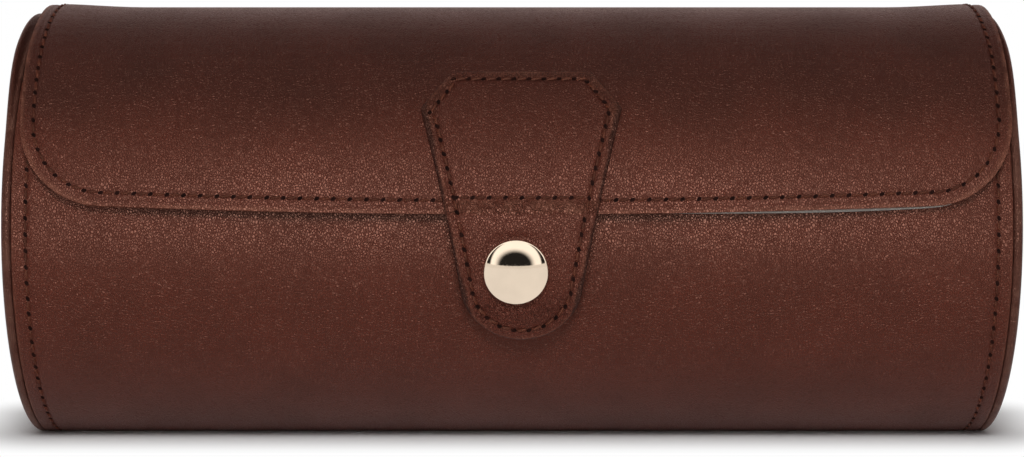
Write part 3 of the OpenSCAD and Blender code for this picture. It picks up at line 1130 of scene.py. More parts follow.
@dataclass
class OuterHide:
    """The brown hide: one skin up the back and over the lid, one up the front."""

    wall_t: float = 1.3 * MM
    lid_t: float = 2.2 * MM
    seam_x: float = 98.55 * MM
    seam_groove: float = 0.28 * MM
    groove_width: float = 0.55 * MM
    lid_seam_inset: float = 2.7 * MM
    crease_inset: float = 1.55 * MM
    crease_depth: float = 0.16 * MM
    crease_width: float = 0.30 * MM
    pressed_depth: float = 0.22 * MM
    pressed_width: float = 4.2 * MM
    end_rise: float = 0.75 * MM
    near_reach: float = 45.0
    hinge_fold: float = 137.0
    fold_from: float = 141.0
    fold_r: float = 47.0 * MM
    # Shares of painted shade: on the lid's top, low on the front, and a painted shadow under the lid's edge.
    lid_shade: float = 0.60
    foot_shade: float = 0.22
    under_lid_shadow: float = 0.62
    roll_bevel: float = 0.85 * MM
    wall_bevel: float = 0.42 * MM
    columns: list[float] = field(default_factory=list)

    def __post_init__(self) -> None:
        """Spaces the columns: close near the ends, wide in the middle."""
        ends = [1.0, 0.997, 0.9935, 0.990, 0.987, 0.984, 0.981, 0.9785, 0.976, 0.9735, 0.971, 0.9685]
        ends += [0.966, 0.963, 0.960, 0.955, 0.948, 0.94, 0.93, 0.92, 0.91, 0.90, 0.885, 0.87, 0.86]
        self.columns = both_ways(ends + [0.83 - 0.83 * i / 24 for i in range(25)])

    def lid_distance(self, x: float, height: float) -> float:
        """Gives how far a spot of the lid is inside its outline, in the front view.

        Args:
            x: Place along the case, before the sides are widened.
            height: Height over the axis.

        Returns:
            The distance to the outline.
        """
        dx = ROLL.lid_half - abs(x)
        dz = height - ROLL.edge_height(x)
        c = ROLL.corner_r
        if dx < c and dz < c:
            return c - math.hypot(c - dx, c - dz)
        return min(dx, dz)

    def lid_relief(self, inside: float) -> float:
        """Gives the height of the lid's hide by its distance from the edge."""
        groove = -self.seam_groove * hump(self.lid_seam_inset, self.groove_width, inside)
        crease = -self.crease_depth * hump(self.crease_inset, self.crease_width, inside)
        pressed = -self.pressed_depth * (1.0 - smoothstep(0.0, self.pressed_width, inside))
        return groove + crease + pressed

    def lid_spot(self, x: float, deg: float, lift: float = 0.0) -> Vector:
        """Gives a spot on the outer face of the lid.

        Args:
            x: Place along the case, before the sides are widened.
            deg: Angle.
            lift: Height over the hide.

        Returns:
            The point.
        """
        if deg < 90.0:
            inside = self.lid_distance(x, ROLL.lid_r * math.sin(math.radians(deg)))
        else:
            inside = ROLL.lid_half - abs(x)
        rise = self.end_rise * smoothstep(0.80, 1.0, abs(x) / ROLL.lid_half) * smoothstep(25.0, 80.0, deg)
        r = ROLL.lid_r + self.lid_relief(inside) + rise * (1.0 - smoothstep(112.0, 132.0, deg)) + lift
        return ROLL.at(ROLL.sideways(x, deg), deg, r)

    def back_spot(self, share: float, deg: float) -> Vector:
        """Gives a spot on the hide behind the lid, down to the flat.

        Args:
            share: Place along the case, from -1 to 1.
            deg: Angle of 134 or more.

        Returns:
            The point.
        """
        step = smoothstep(ROLL.lid_back, ROLL.wall_back, deg)
        half = ROLL.lid_half + (ROLL.wrap_half - ROLL.lid_half) * step
        x = share * half
        r = ROLL.lid_r + (ROLL.body_r - ROLL.lid_r) * step
        wall = smoothstep(ROLL.wall_back, ROLL.wall_back + 4.0, deg)
        r -= wall * self.seam_groove * hump(self.seam_x, self.groove_width, abs(x))
        r += (1.0 - wall) * self.lid_relief(half - abs(x)) * (1.0 - step)
        point = ROLL.at(x, deg, r)
        point.z = max(point.z, 0.0)
        return point

    def front_deg(self, x: float) -> float:
        """Gives the angle of the lid's front outline at a place along it."""
        return math.degrees(math.asin(min(ROLL.front_height(x) / ROLL.lid_r, 1.0)))

    def back_and_lid(self) -> Piece:
        """Builds the skin from under the case, up the back and over the lid.

        Returns:
            The skin.
        """
        near = [0.0, 0.25, 0.6, 1.0, 1.4, 1.8, 2.2, 2.7, 3.2, 3.7, 4.3, 5.2, 6.6, 8.5, 11.0, 14.0, 18.0]
        near += [22.5, 27.5, 32.5, 37.0]
        over = [ROLL.level + 4.0 * i for i in range(21)]
        hinge = [128.5, 131.0, 133.0] + [134.0 + 1.0 * i for i in range(13)]
        wall = [147.5, 149.0, 151.0] + [154.0 + 4.0 * i for i in range(25)]
        under = [252.5, 255.0, 257.5, 259.0, 262.2, 266.0, 270.0]
        fixed = [d for d in over if d < 127.0] + hinge + wall + under
        rows = [(Row.EDGE, n) for n in near] + [(Row.ANGLE, d) for d in fixed]
        columns = self.columns
        sheet = Bench.grid("hide_back_and_lid", len(columns) - 1, len(rows) - 1)
        arcs: list[float] = []

        def move(co: Vector) -> Vector:
            """Lays one vertex of the flat sheet on the roll."""
            share = mark_at(columns, co.x)
            x = share * ROLL.lid_half
            deg = row_angle(mark_at(rows, co.y), self.front_deg(x), self.near_reach)
            arcs.append(math.radians(deg) * ROLL.lid_r)
            if deg <= ROLL.lid_back:
                return self.lid_spot(x, deg)
            return self.back_spot(share, deg)

        places = [mark_at(columns, v.co.x) * ROLL.lid_half for v in sheet.data.vertices]
        Bench.shape(sheet, move)
        Bench.unroll(sheet, list(zip(places, arcs)))
        group = sheet.vertex_groups.new(name="thick")
        for i, arc in enumerate(arcs):
            group.add([i], self._thickness(arc), "REPLACE")
        degs = [math.degrees(arc / ROLL.lid_r) for arc in arcs]
        mask(sheet, "edge", [self._edge_mask(x, arc) for x, arc in zip(places, arcs)])
        mask(sheet, "crease", [hump(self.hinge_fold, 3.0, d) * 0.8 for d in degs])
        # Painted shade: the lid's top is darker from 20 to 45 degrees up, where less light falls.
        mask(sheet, "shade", [self.lid_shade * smoothstep(20.0, 45.0, d) for d in degs])
        Bench.thicken(sheet, self.lid_t, "thick")
        Bench.round_rim(sheet, self.roll_bevel, 4)
        Bench.smooth(sheet, 50)
        PAINTS.on(sheet, HIDE)
        return sheet

    def _thickness(self, arc: float) -> float:
        """Gives the share of the full thickness at an unrolled length."""
        deg = math.degrees(arc / ROLL.lid_r)
        thin = self.wall_t / self.lid_t
        return 1.0 + (thin - 1.0) * smoothstep(ROLL.lid_back - 4.0, ROLL.lid_back + 2.0, deg)

    def _edge_mask(self, x: float, arc: float) -> float:
        """Gives how near a spot is to the lid's edge, from 0 to 1."""
        deg = math.degrees(arc / ROLL.lid_r)
        if deg > ROLL.lid_back:
            return 0.0
        inside = self.lid_distance(x, ROLL.lid_r * math.sin(math.radians(min(deg, 89.0))))
        return 1.0 - smoothstep(0.1 * MM, 1.1 * MM, inside)

    def front_spot(self, share: float, deg: float) -> Vector:
        """Gives a spot on the body's front hide.

        Args:
            share: Place along the case, from -1 to 1.
            deg: Angle from -90 to 48.

        Returns:
            The point.
        """
        x = share * ROLL.wrap_half
        r = ROLL.body_r - self.seam_groove * hump(self.seam_x, self.groove_width, abs(x))
        point = ROLL.at(x, deg, r)
        point.z = max(point.z, 0.0)
        return point

    def _front_shade(self, x: float, deg: float) -> float:
        """Paints shade on the front: darker toward the floor, and a painted shadow just under the lid's edge.

        Args:
            x: Place along the case.
            deg: Angle.

        Returns:
            The share of the deep colour.
        """
        rest = math.degrees(math.asin(ROLL.front_height(x) / ROLL.body_r))
        middle = 1.0 - smoothstep(72.0 * MM, 84.0 * MM, abs(x))
        # Painted shadow in a band just under the lid's edge, where the lid shades the front.
        pressed = self.under_lid_shadow * hump(rest - 1.2, 2.0, deg) * middle
        return max(self.foot_shade * smoothstep(-22.0, -50.0, deg), pressed)

    def front(self) -> Piece:
        """Builds the skin from under the case up its front to the mouth.

        Returns:
            The skin.
        """
        degs = [-90.0, -86.0, -82.0, -79.5, -77.8, -76.0, -73.5, -71.0] + [-68.0 + 3.0 * i for i in range(22)]
        degs += [-4.25 + 0.75 * i for i in range(20)] + [13.0 + 3.0 * i for i in range(11)]
        degs += [45.0, 46.5, 47.3, ROLL.mouth_front]
        columns = self.columns
        sheet = Bench.grid("hide_front", len(columns) - 1, len(degs) - 1)
        flat: Corners = []

        def move(co: Vector) -> Vector:
            """Lays one vertex of the flat sheet on the roll."""
            share, deg = mark_at(columns, co.x), mark_at(degs, co.y)
            flat.append((share * ROLL.wrap_half, math.radians(deg) * ROLL.body_r))
            return self.front_spot(share, deg)

        Bench.shape(sheet, move)
        Bench.unroll(sheet, flat)
        mask(sheet, "edge", [0.55 * smoothstep(100.7 * MM, 101.4 * MM, abs(x)) for x, _ in flat])
        mask(sheet, "crease")
        # Painted shade and painted shadow, from _front_shade.
        mask(sheet, "shade", [self._front_shade(x, math.degrees(y / ROLL.body_r)) for x, y in flat])
        Bench.thicken(sheet, self.wall_t)
        Bench.round_rim(sheet, self.wall_bevel, 3)
        Bench.smooth(sheet, 50)
        PAINTS.on(sheet, HIDE)
        return sheet

    def lid_line(self, inset: float, lift: float) -> Line:
        """Gives a line round the lid at a distance inside its edge.

        Args:
            inset: Distance inside the edge.
            lift: Height over the hide.

        Returns:
            Place and outward direction of each spot, from the right side round to the left.
        """
        corner = ROLL.corner_r - inset
        flat = ROLL.lid_half - ROLL.corner_r
        middle = ROLL.edge_height(flat) + inset + corner
        low = math.degrees(math.asin(middle / ROLL.lid_r))
        line: Corners = []
        steps, start = 60, 131.5
        for i in range(steps):
            line.append((flat + corner, start + (low - start) * i / steps))
        for i in range(1, 20):
            a = math.radians(-90.0 * i / 20)
            height = middle + corner * math.sin(a)
            line.append((flat + corner * math.cos(a), math.degrees(math.asin(height / ROLL.lid_r))))
        for i in range(steps + 1):
            x = flat - flat * i / steps
            height = ROLL.edge_height(x) + inset
            line.append((x, math.degrees(math.asin(height / ROLL.lid_r))))
        line += [(-x, deg) for x, deg in reversed(line[:-1])]
        return [(self.lid_spot(x, deg, lift), ROLL.out(deg)) for x, deg in line]

    def build(self) -> None:
        """Makes both skins and their seams."""
        back = self.back_and_lid()
        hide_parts("body_leather", "hinge_strip", "lid_leather")
        crease = ROLL.at(0.0, self.fold_from, self.fold_r)
        axis = ROLL.at(0.0, ROLL.lid_back, ROLL.lid_r)
        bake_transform(back)
        front = self.front()
        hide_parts("body_leather")
        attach(front, "body")
        lid_seam = Seam("lid_seam")
        lid_seam.sew([self.lid_line(self.lid_seam_inset, self.seam_groove * 0.2)], "lid", THREAD)
        ends = []
        for side in (-1.0, 1.0):
            share = side * self.seam_x / ROLL.wrap_half
            for spot, start, count in ((self.front_spot, -77.0, 248), (self.back_spot, 151.0, 212)):
                degs = [start + 0.5 * i for i in range(count)]
                ends.append([(spot(share, d), ROLL.out(d)) for d in degs])
        Seam("end_seam").sew(ends, "body", THREAD)
        LOG.info("outer hide: %d and %d faces", len(back.data.polygons), len(front.data.polygons))


# --- drawing and turning


class Lathe:
    """Draws a given half section and spins it about an axis."""

    @staticmethod
    def draw(piece_name: str, points: Corners) -> Piece:
        """Draws a line in the XZ plane by extruding one vertex.

        Args:
            piece_name: Name of the piece.
            points: Distance from the Z axis and height of each corner.

        Returns:
            The line.
        """
        Bench.clear()
        bpy.ops.mesh.primitive_plane_add(size=MM)
        obj = Bench.name(piece_name)
        Bench.edit(obj, mode="VERT")
        bpy.ops.mesh.merge(type="CENTER")
        bpy.ops.transform.translate(value=(points[0][0], 0.0, points[0][1]))
        for (r0, z0), (r1, z1) in zip(points, points[1:]):
            bpy.ops.mesh.extrude_vertices_move(TRANSFORM_OT_translate={"value": (r1 - r0, 0.0, z1 - z0)})
        Bench.done()
        return obj

    @staticmethod
    def turn(piece_name: str, points: Corners, steps: int, seat: Matrix) -> Piece:
        """Spins a half section all the way round Z, then seats it.

        Args:
            piece_name: Name of the piece.
            points: Distance from the Z axis and height of each corner.
            steps: Number of faces round it.
            seat: Where its base goes.

        Returns:
            The turned piece, closed where the section meets the axis.
        """
        obj = Lathe.draw(piece_name, points)
        Bench.edit(obj, mode="VERT")
        bpy.ops.mesh.spin(steps=steps, angle=2.0 * math.pi, center=(0.0, 0.0, 0.0), axis=(0.0, 0.0, 1.0))
        Bench.done()
        Bench.outward(obj)
        obj.data.transform(seat)
        Bench.outward(obj)
        return obj


def curved(points: Corners, times: int = 2) -> Corners:
    """Rounds a drawn line by cutting its corners.

    Args:
        points: Corners of the line.
        times: How often its corners are cut.

    Returns:
        The rounded line with the same ends.
    """
    line = list(points)
    for _ in range(times):
        cut = [line[0]]
        for (ax, ay), (bx, by) in zip(line, line[1:]):
            cut.append((0.75 * ax + 0.25 * bx, 0.75 * ay + 0.25 * by))
            cut.append((0.25 * ax + 0.75 * bx, 0.25 * ay + 0.75 * by))
        cut.append(line[-1])
        line = cut
    return line


def scaled(points: Corners) -> Corners:
    """Turns millimetres into metres."""
    return [(a * MM, b * MM) for a, b in points]


# --- ends


@dataclass
class EndCaps:
    """The two round leather ends with a rolled edge and a padded face."""

    seat_x: float = 101.5 * MM
    rise: float = 2.0 * MM
    rise_degs: tuple[float, float] = (28.0, 62.0)
    bulge: float = 0.55 * MM
    seam_r: float = 41.1 * MM
    seam_out: float = 1.84 * MM
    seam_low: float = 4.0 * MM
    pitch: float = 3.6 * MM

    def shoulder(self, co: Vector) -> Vector:
        """Swells the rim outside the lid where the lid's ends press on it.

        Args:
            co: A spot of the cap.

        Returns:
            Where it goes.
        """
        y, z = co.y, co.z - ROLL.axis_z
        r = math.hypot(y, z)
        up = smoothstep(*self.rise_degs, math.degrees(math.atan2(z, abs(y) + 1e-9)))
        rim = smoothstep(39.0 * MM, 43.6 * MM, r)
        outer = smoothstep(0.75 * MM, 1.3 * MM, abs(co.x) - self.seat_x)
        grown = 1.0 + self.rise * up * rim * outer / max(r, 1e-6)
        out = self.bulge * up * smoothstep(34.0 * MM, 42.0 * MM, r) * outer
        return Vector((co.x + math.copysign(out, co.x), y * grown, ROLL.axis_z + z * grown))

    def build(self) -> None:
        """Turns both ends and seats them."""
        rim = [(43.5, -0.3), (44.15, -0.1), (44.3, 0.12), (44.72, 0.22), (45.0, 0.6), (45.05, 1.15)]
        rim += [(44.8, 1.75), (44.2, 2.1), (43.2, 2.22), (42.2, 2.12), (41.55, 1.86), (41.1, 1.80)]
        rim += [(40.6, 1.9), (39.6, 2.12)]
        padded = [(34.0, 2.42), (24.0, 2.62), (12.0, 2.74), (4.0, 2.78), (0.0, 2.78)]
        section = scaled(curved(rim, 2) + padded)
        for side, sign in SIDES:
            face = Matrix.Rotation(sign * math.pi / 2, 4, "Y")
            seat = Matrix.Translation((sign * self.seat_x, 0.0, ROLL.axis_z)) @ face
            cap = Lathe.turn("end_cap_" + side, section, 120, seat)
            Bench.shape(cap, lambda co: self.shoulder(Vector((co.x, co.y, max(co.z, 0.0)))))
            r = [math.hypot(v.co.y, v.co.z - ROLL.axis_z) for v in cap.data.vertices]
            # The rim is rubbed lighter: partly wear, partly a painted reflection along the rolled rim.
            mask(cap, "edge", [0.8 * hump(44.9 * MM, 0.5 * MM, a) for a in r])
            mask(cap, "crease")
            Bench.smooth(cap, 50)
            PAINTS.on(cap, END_HIDE)
            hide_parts("end_leather_" + side)
            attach(cap, "body")
            x, out = sign * (self.seat_x + self.seam_out), Vector((sign, 0.0, 0.0))
            line = [(ROLL.at(x, 3.0 * i, self.seam_r), out) for i in range(121)]
            keep = [spot for spot in line if spot[0].z > self.seam_low]
            Seam("cap_seam_" + side, pitch=self.pitch).sew([keep], "body", THREAD)
            LOG.info("end cap %s: %d faces", side, len(cap.data.polygons))


# --- tab


@dataclass
class ClosingTab:
    """The stitched tab: a shield sewn to the lid and a free strap below it."""

    centre_x: float = 1.9 * MM
    snap_x: float = 0.8 * MM
    snap_deg: float = -4.4
    r: float = 49.7 * MM
    thick: float = 1.4 * MM
    backed: float = 2.25 * MM
    top_half: float = 14.15 * MM
    shoulder_half: float = 20.45 * MM
    neck_half: float = 15.1 * MM
    tip_r: float = 12.4 * MM
    top_deg: float = 46.2
    shoulder_deg: float = 35.3
    bend_deg: float = 8.744
    tip_deg: float = -21.7
    seam_inset: float = 2.32 * MM
    seam_z: float = -0.10 * MM
    row_deg: float = 12.7
    top_round: float = 1.8 * MM
    shoulder_round: float = 1.0 * MM
    edge_drop: float = 0.55 * MM
    ridge: float = 0.34 * MM
    row_sunk: float = 0.20 * MM
    dent: float = 0.30 * MM
    dent_r: float = 6.9 * MM
    puff: float = 0.16 * MM
    grain_shift: tuple[float, float] = (0.31, 0.17)
    pitch: float = 3.1 * MM

    def along(self, deg: float) -> float:
        """Gives the unrolled length at an angle."""
        return self.r * math.radians(deg)

    def outline(self) -> Corners:
        """Gives the right half of the outline, unrolled, from top to tip.

        Returns:
            Distance from the middle and unrolled length of each point.
        """
        tilt = math.radians(self.snap_deg)
        high = self.r * math.sin(math.radians(self.bend_deg) - tilt)
        low = self.r * math.sin(math.radians(self.tip_deg) - tilt)
        tip_y = low + self.tip_r
        reach = math.hypot(self.neck_half, high - tip_y)
        touch = math.atan2(high - tip_y, self.neck_half) - math.acos(self.tip_r / reach)
        tip: Corners = []
        steps = 26
        for i in range(steps + 1):
            a = touch - (math.pi / 2 + touch) * i / steps
            y = tip_y + self.tip_r * math.sin(a)
            tip.append((self.tip_r * math.cos(a), self.r * (tilt + math.asin(y / self.r))))
        neck = Vector((self.neck_half, self.along(self.bend_deg)))
        shoulder = Vector((self.shoulder_half, self.along(self.shoulder_deg)))
        arm = 9.0
        before = (shoulder - neck).normalized() * arm * MM
        after = (Vector(tip[0]) - neck).normalized() * arm * MM
        bend = []
        for k in range(7):
            t = k / 6
            spot = (neck + before) * (1 - t) ** 2 + neck * 2 * t * (1 - t) + (neck + after) * t * t
            bend.append((spot.x, spot.y))
        top = self.along(self.top_deg)
        upper = [(0.0, top), (self.top_half, top), (self.shoulder_half, self.along(self.shoulder_deg))]
        return upper + bend + tip

    def ring(self, inset: float = 0.0) -> list[Vector]:
        """Gives the whole outline, clockwise from the middle of the top.

        Args:
            inset: Distance inside the outline.

        Returns:
            The corners of the outline.
        """
        half = self.outline()
        whole = [Vector(p) for p in half] + [Vector((-x, y)) for x, y in reversed(half[1:-1])]
        drawn = []
        for i, here in enumerate(whole):
            u = (here - whole[i - 1]).normalized()
            w = (whole[(i + 1) % len(whole)] - here).normalized()
            first, second = Vector((u.y, -u.x)), Vector((w.y, -w.x))
            way = (first + second).normalized()
            drawn.append(here + way * (inset / way.dot(first)))
        return drawn

    def corner_centres(self) -> list[tuple[Vector, Vector, Vector, float]]:
        """Gives the rounding of the four outer corners.

        Returns:
            For each corner its centre, the outward directions of both edges and the radius.
        """
        whole = self.ring()
        rounds = []
        radii = {1: self.top_round, 2: self.shoulder_round, -1: self.top_round, -2: self.shoulder_round}
        for i, radius in radii.items():
            here = whole[i]
            u = (here - whole[i - 1]).normalized()
            w = (whole[(i + 1) % len(whole)] - here).normalized()
            first, second = Vector((-u.y, u.x)), Vector((-w.y, w.x))
            way = (first + second).normalized()
            rounds.append((here - way * (radius / way.dot(first)), first, second, radius))
        return rounds

    def rounded(self, co: Vector) -> Vector:
        """Pulls a flat spot near a sharp corner onto the rounded one.

        Args:
            co: The spot.

        Returns:
            Where it goes.
        """
        for centre, first, second, _ in self.corner_centres():
            arm = co.xy - centre
            turn = first.x * second.y - first.y * second.x
            past_first = (first.x * arm.y - first.y * arm.x) * turn > 0.0
            short_of_second = (arm.x * second.y - arm.y * second.x) * turn > 0.0
            if past_first and short_of_second and arm.length > 1e-6:
                level = max(arm.dot(first), arm.dot(second))
                spot = centre + arm * (level / arm.length)
                return Vector((spot.x, spot.y, co.z))
        return co

    def relief(self, x: float, s: float) -> float:
        """Gives how far the tab stands off its plain shell.

        Args:
            x: Distance from the tab's middle.
            s: Unrolled length.

        Returns:
            The height.
        """
        deg = math.degrees(s / self.r)
        rise = 1.0 - smoothstep(9.6, 12.4, deg) if deg >= 9.3 else smoothstep(2.0, 8.6, deg)
        ridge = self.ridge * rise
        middle = 1.0 - smoothstep(11.6 * MM, 13.2 * MM, abs(x))
        row = -self.row_sunk * hump(self.row_deg, 0.62, deg) * middle
        tilt = math.radians(self.snap_deg)
        reach = math.hypot(x + self.centre_x - self.snap_x, s - self.r * tilt)
        dent = -self.dent * hump(self.dent_r, 0.9 * MM, reach) * (1.0 if reach > 5.0 * MM else 0.0)
        puff = self.puff * hump(-15.0, 3.5, deg) * math.cos(2.4 * x / (6.0 * MM))
        return ridge + row + dent + puff

    def spot(self, x: float, s: float, height: float) -> Vector:
        """Gives a point of the tab.

        Args:
            x: Distance from the tab's middle.
            s: Unrolled length.
            height: Height over the shell's outer face.

        Returns:
            The point.
        """
        return ROLL.at(x + self.centre_x, math.degrees(s / self.r), self.r + height + self.relief(x, s))

    def skin(self) -> Piece:
        """Cuts the tab flat, presses its edge and seam, then rolls it on.

        Returns:
            The tab.
        """
        ring = list(reversed(self.ring()))
        Bench.clear()
        bpy.ops.mesh.primitive_circle_add(vertices=len(ring), radius=10 * MM, fill_type="NGON")
        tab = Bench.name("tab_skin")
        for vertex, point in zip(tab.data.vertices, ring):
            vertex.co = (point.x, point.y, -self.edge_drop)
        Bench.edit(tab)
        if tab.data.polygons[0].normal.z < 0.0:
            bpy.ops.mesh.flip_normals()
        # Width and rise of each ring, from the rim over the edge and through the seam's groove.
        steps = ((0.10, 0.27), (0.25, 0.18), (0.50, 0.05), (0.55, 0.0), (0.40, -0.02), (0.25, -0.09))
        steps += ((0.22, -0.09), (0.20, 0.02), (0.22, 0.11), (0.30, 0.11), (0.50, 0.05), (1.0, 0.02))
        for wide, rise in steps:
            bpy.ops.mesh.inset(thickness=wide * MM, depth=rise * MM, use_even_offset=True)
        cuts = [-18.2 + 0.75 * i for i in range(28)] + [2.8 + 0.35 * i for i in range(32)]
        cuts += [14.5 + 1.0 * i for i in range(26)]
        for s in cuts:
            bpy.ops.mesh.select_all(action="SELECT")
            bpy.ops.mesh.bisect(plane_co=(0.0, s * MM, 0.0), plane_no=(0.0, 1.0, 0.0))
        for x in [-18.0 + 1.5 * i for i in range(25)]:
            bpy.ops.mesh.select_all(action="SELECT")
            bpy.ops.mesh.bisect(plane_co=(x * MM, 0.0, 0.0), plane_no=(1.0, 0.0, 0.0))
        Bench.done()
        for centre, first, second, radius in self.corner_centres():
            reach = radius * 2.0
            for k in range(7):
                way = first.lerp(second, k / 6).normalized()
                Bench.pick(tab, lambda co, centre=centre, reach=reach: (co.xy - centre).length < reach)
                bpy.ops.mesh.bisect(plane_co=(centre.x, centre.y, 0.0), plane_no=(-way.y, way.x, 0.0))
                Bench.done()
        Bench.outward_up(tab)
        Bench.shape(tab, self.rounded)
        flat = [(v.co.x, v.co.y) for v in tab.data.vertices]
        over, along = self.grain_shift
        Bench.unroll(tab, [(x + over, y + along) for x, y in flat])
        self._masks(tab, flat)
        group = tab.vertex_groups.new(name="thick")
        for i, (_, y) in enumerate(flat):
            on_strap = 1.0 - smoothstep(7.2, 8.2, math.degrees(y / self.r))
            share = (self.thick + (self.backed - self.thick) * on_strap) / self.backed
            group.add([i], share, "REPLACE")
        Bench.shape(tab, lambda co: self.spot(co.x, co.y, co.z))
        Bench.thicken(tab, self.backed, "thick")
        Bench.smooth(tab, 55)
        PAINTS.on(tab, HIDE)
        return tab

    def _masks(self, tab: Piece, flat: Corners) -> None:
        """Stores where the tab is rubbed, where its bend gets a painted highlight, where it is creased and
        where shade is painted on.

        Args:
            tab: The tab.
            flat: Unrolled place of each vertex.
        """
        ring = self.ring()
        rub_and_highlight = []
        creased = []
        shaded = []
        for x, y in flat:
            deg = math.degrees(y / self.r)
            spot = Vector((x, y))
            feet = (intersect_point_line(spot, a, b)[0].xy for a, b in zip(ring, ring[1:] + ring[:1]))
            inside = min((spot - foot).length for foot in feet)
            margin = 1.0 - smoothstep(1.7 * MM, 2.2 * MM, inside)
            bend = smoothstep(12.5, 11.6, deg) * smoothstep(8.4, 9.4, deg)
            under = hump(-14.0, 3.6, deg) * smoothstep(11.0 * MM, 8.0 * MM, abs(x)) if deg < 0.0 else 0.0
            top = smoothstep(24.0, 40.0, deg) * margin
            rim = smoothstep(0.15 * MM, 0.4 * MM, inside) * (1.0 - smoothstep(0.4 * MM, 0.9 * MM, inside))
            cut = 1.0 - smoothstep(0.05 * MM, 0.3 * MM, inside)
            # The bend under the row is lighter: partly rubbed wear, partly a painted highlight where it
            # catches the light.
            rub_and_highlight.append(min(0.7 * rim + bend + 0.3 * top, 1.0))
            # Painted shade darkens the tab's top; the dark cut edge is partly edge paint, partly a painted
            # shadow line along the tab's edge.
            shaded.append(max(0.46 * smoothstep(14.0, 44.0, deg), 0.95 * cut))
            creased.append(min(0.9 * bend + 0.9 * under + 0.6 * top + 0.2 * margin + 0.1, 1.0))
        mask(tab, "edge", rub_and_highlight)
        mask(tab, "crease", creased)
        mask(tab, "shade", shaded)

    def seams(self) -> None:
        """Sews the tab's outline and the row across it."""
        corners = self.ring(self.seam_inset)
        dense: list[Vector] = []
        for here, there in zip(corners, corners[1:] + corners[:1]):
            count = max(int((there - here).length / (0.5 * MM)), 1)
            dense += [here.lerp(there, k / count) for k in range(count)]
        bend = self.along(self.bend_deg)
        down = next(i for i, p in enumerate(dense) if p.y < bend)
        up = len(dense) - next(i for i, p in enumerate(reversed(dense)) if p.y < bend)

        def lay(points: Sequence[Vector]) -> Line:
            """Lifts flat points onto the tab."""
            return [(self.spot(p.x, p.y, self.seam_z), ROLL.out(math.degrees(p.y / self.r))) for p in points]

        row_s = self.along(self.row_deg)
        wide = min((p for p in dense if p.x > 0.0), key=lambda p: abs(p.y - row_s)).x - 0.4 * MM
        row = [(-wide + 2.0 * wide * k / 60, row_s) for k in range(61)]
        across = [(self.spot(x, y, 0.08 * MM), ROLL.out(math.degrees(y / self.r))) for x, y in row]
        Seam("tab_seam_lid", pitch=self.pitch).sew([lay(dense[up:] + dense[:down])], "lid", THREAD)
        Seam("tab_seam_row", pitch=self.pitch, lift=0.14 * MM).sew([across], "lid", THREAD)
        Seam("tab_seam_strap", pitch=self.pitch).sew([lay(dense[down + 2 : up - 2])], "tab", THREAD)

    def cap(self) -> None:
        """Spins the polished cap of the snap."""
        # Half width and height of the dome in millimetres, and the bow of its half section.
        half, high, bow = 6.5, 4.02, math.radians(45.0)
        ball = half / math.sin(bow)
        low = high - ball * (1.0 - math.cos(bow))
        turns = [bow * i / 20 for i in range(21)]
        dome = [(ball * math.sin(a), high - ball * (1.0 - math.cos(a))) for a in turns]
        dome += [(6.56, low - 0.12), (6.55, low - 0.45), (6.4, low - 0.75), (6.15, low - 0.95), (6.0, -0.18)]
        section = scaled(dome)
        tilt = math.radians(self.snap_deg)
        face = Matrix.Rotation(math.pi / 2 - tilt, 4, "X")
        seat = Matrix.Translation((self.snap_x, 0.0, ROLL.axis_z)) @ face
        cap = Lathe.turn("snap_dome", section, 72, seat @ Matrix.Translation((0.0, 0.0, self.r)))
        Bench.smooth(cap, 60)
        PAINTS.on(cap, CAP)
        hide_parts("snap_cap")
        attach(cap, "tab")

    def build(self) -> None:
        """Makes the tab, its seams and its cap."""
        tab = self.skin()
        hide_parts("tab_anchor", "tab_strap", "tab_backing")
        over = ROLL.at(self.centre_x, 9.8, self.r)
        under = ROLL.at(self.centre_x, 6.2, self.r)
        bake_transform(tab)
        self.seams()
        self.cap()
        LOG.info("tab: %d faces", len(tab.data.polygons))


# --- inside


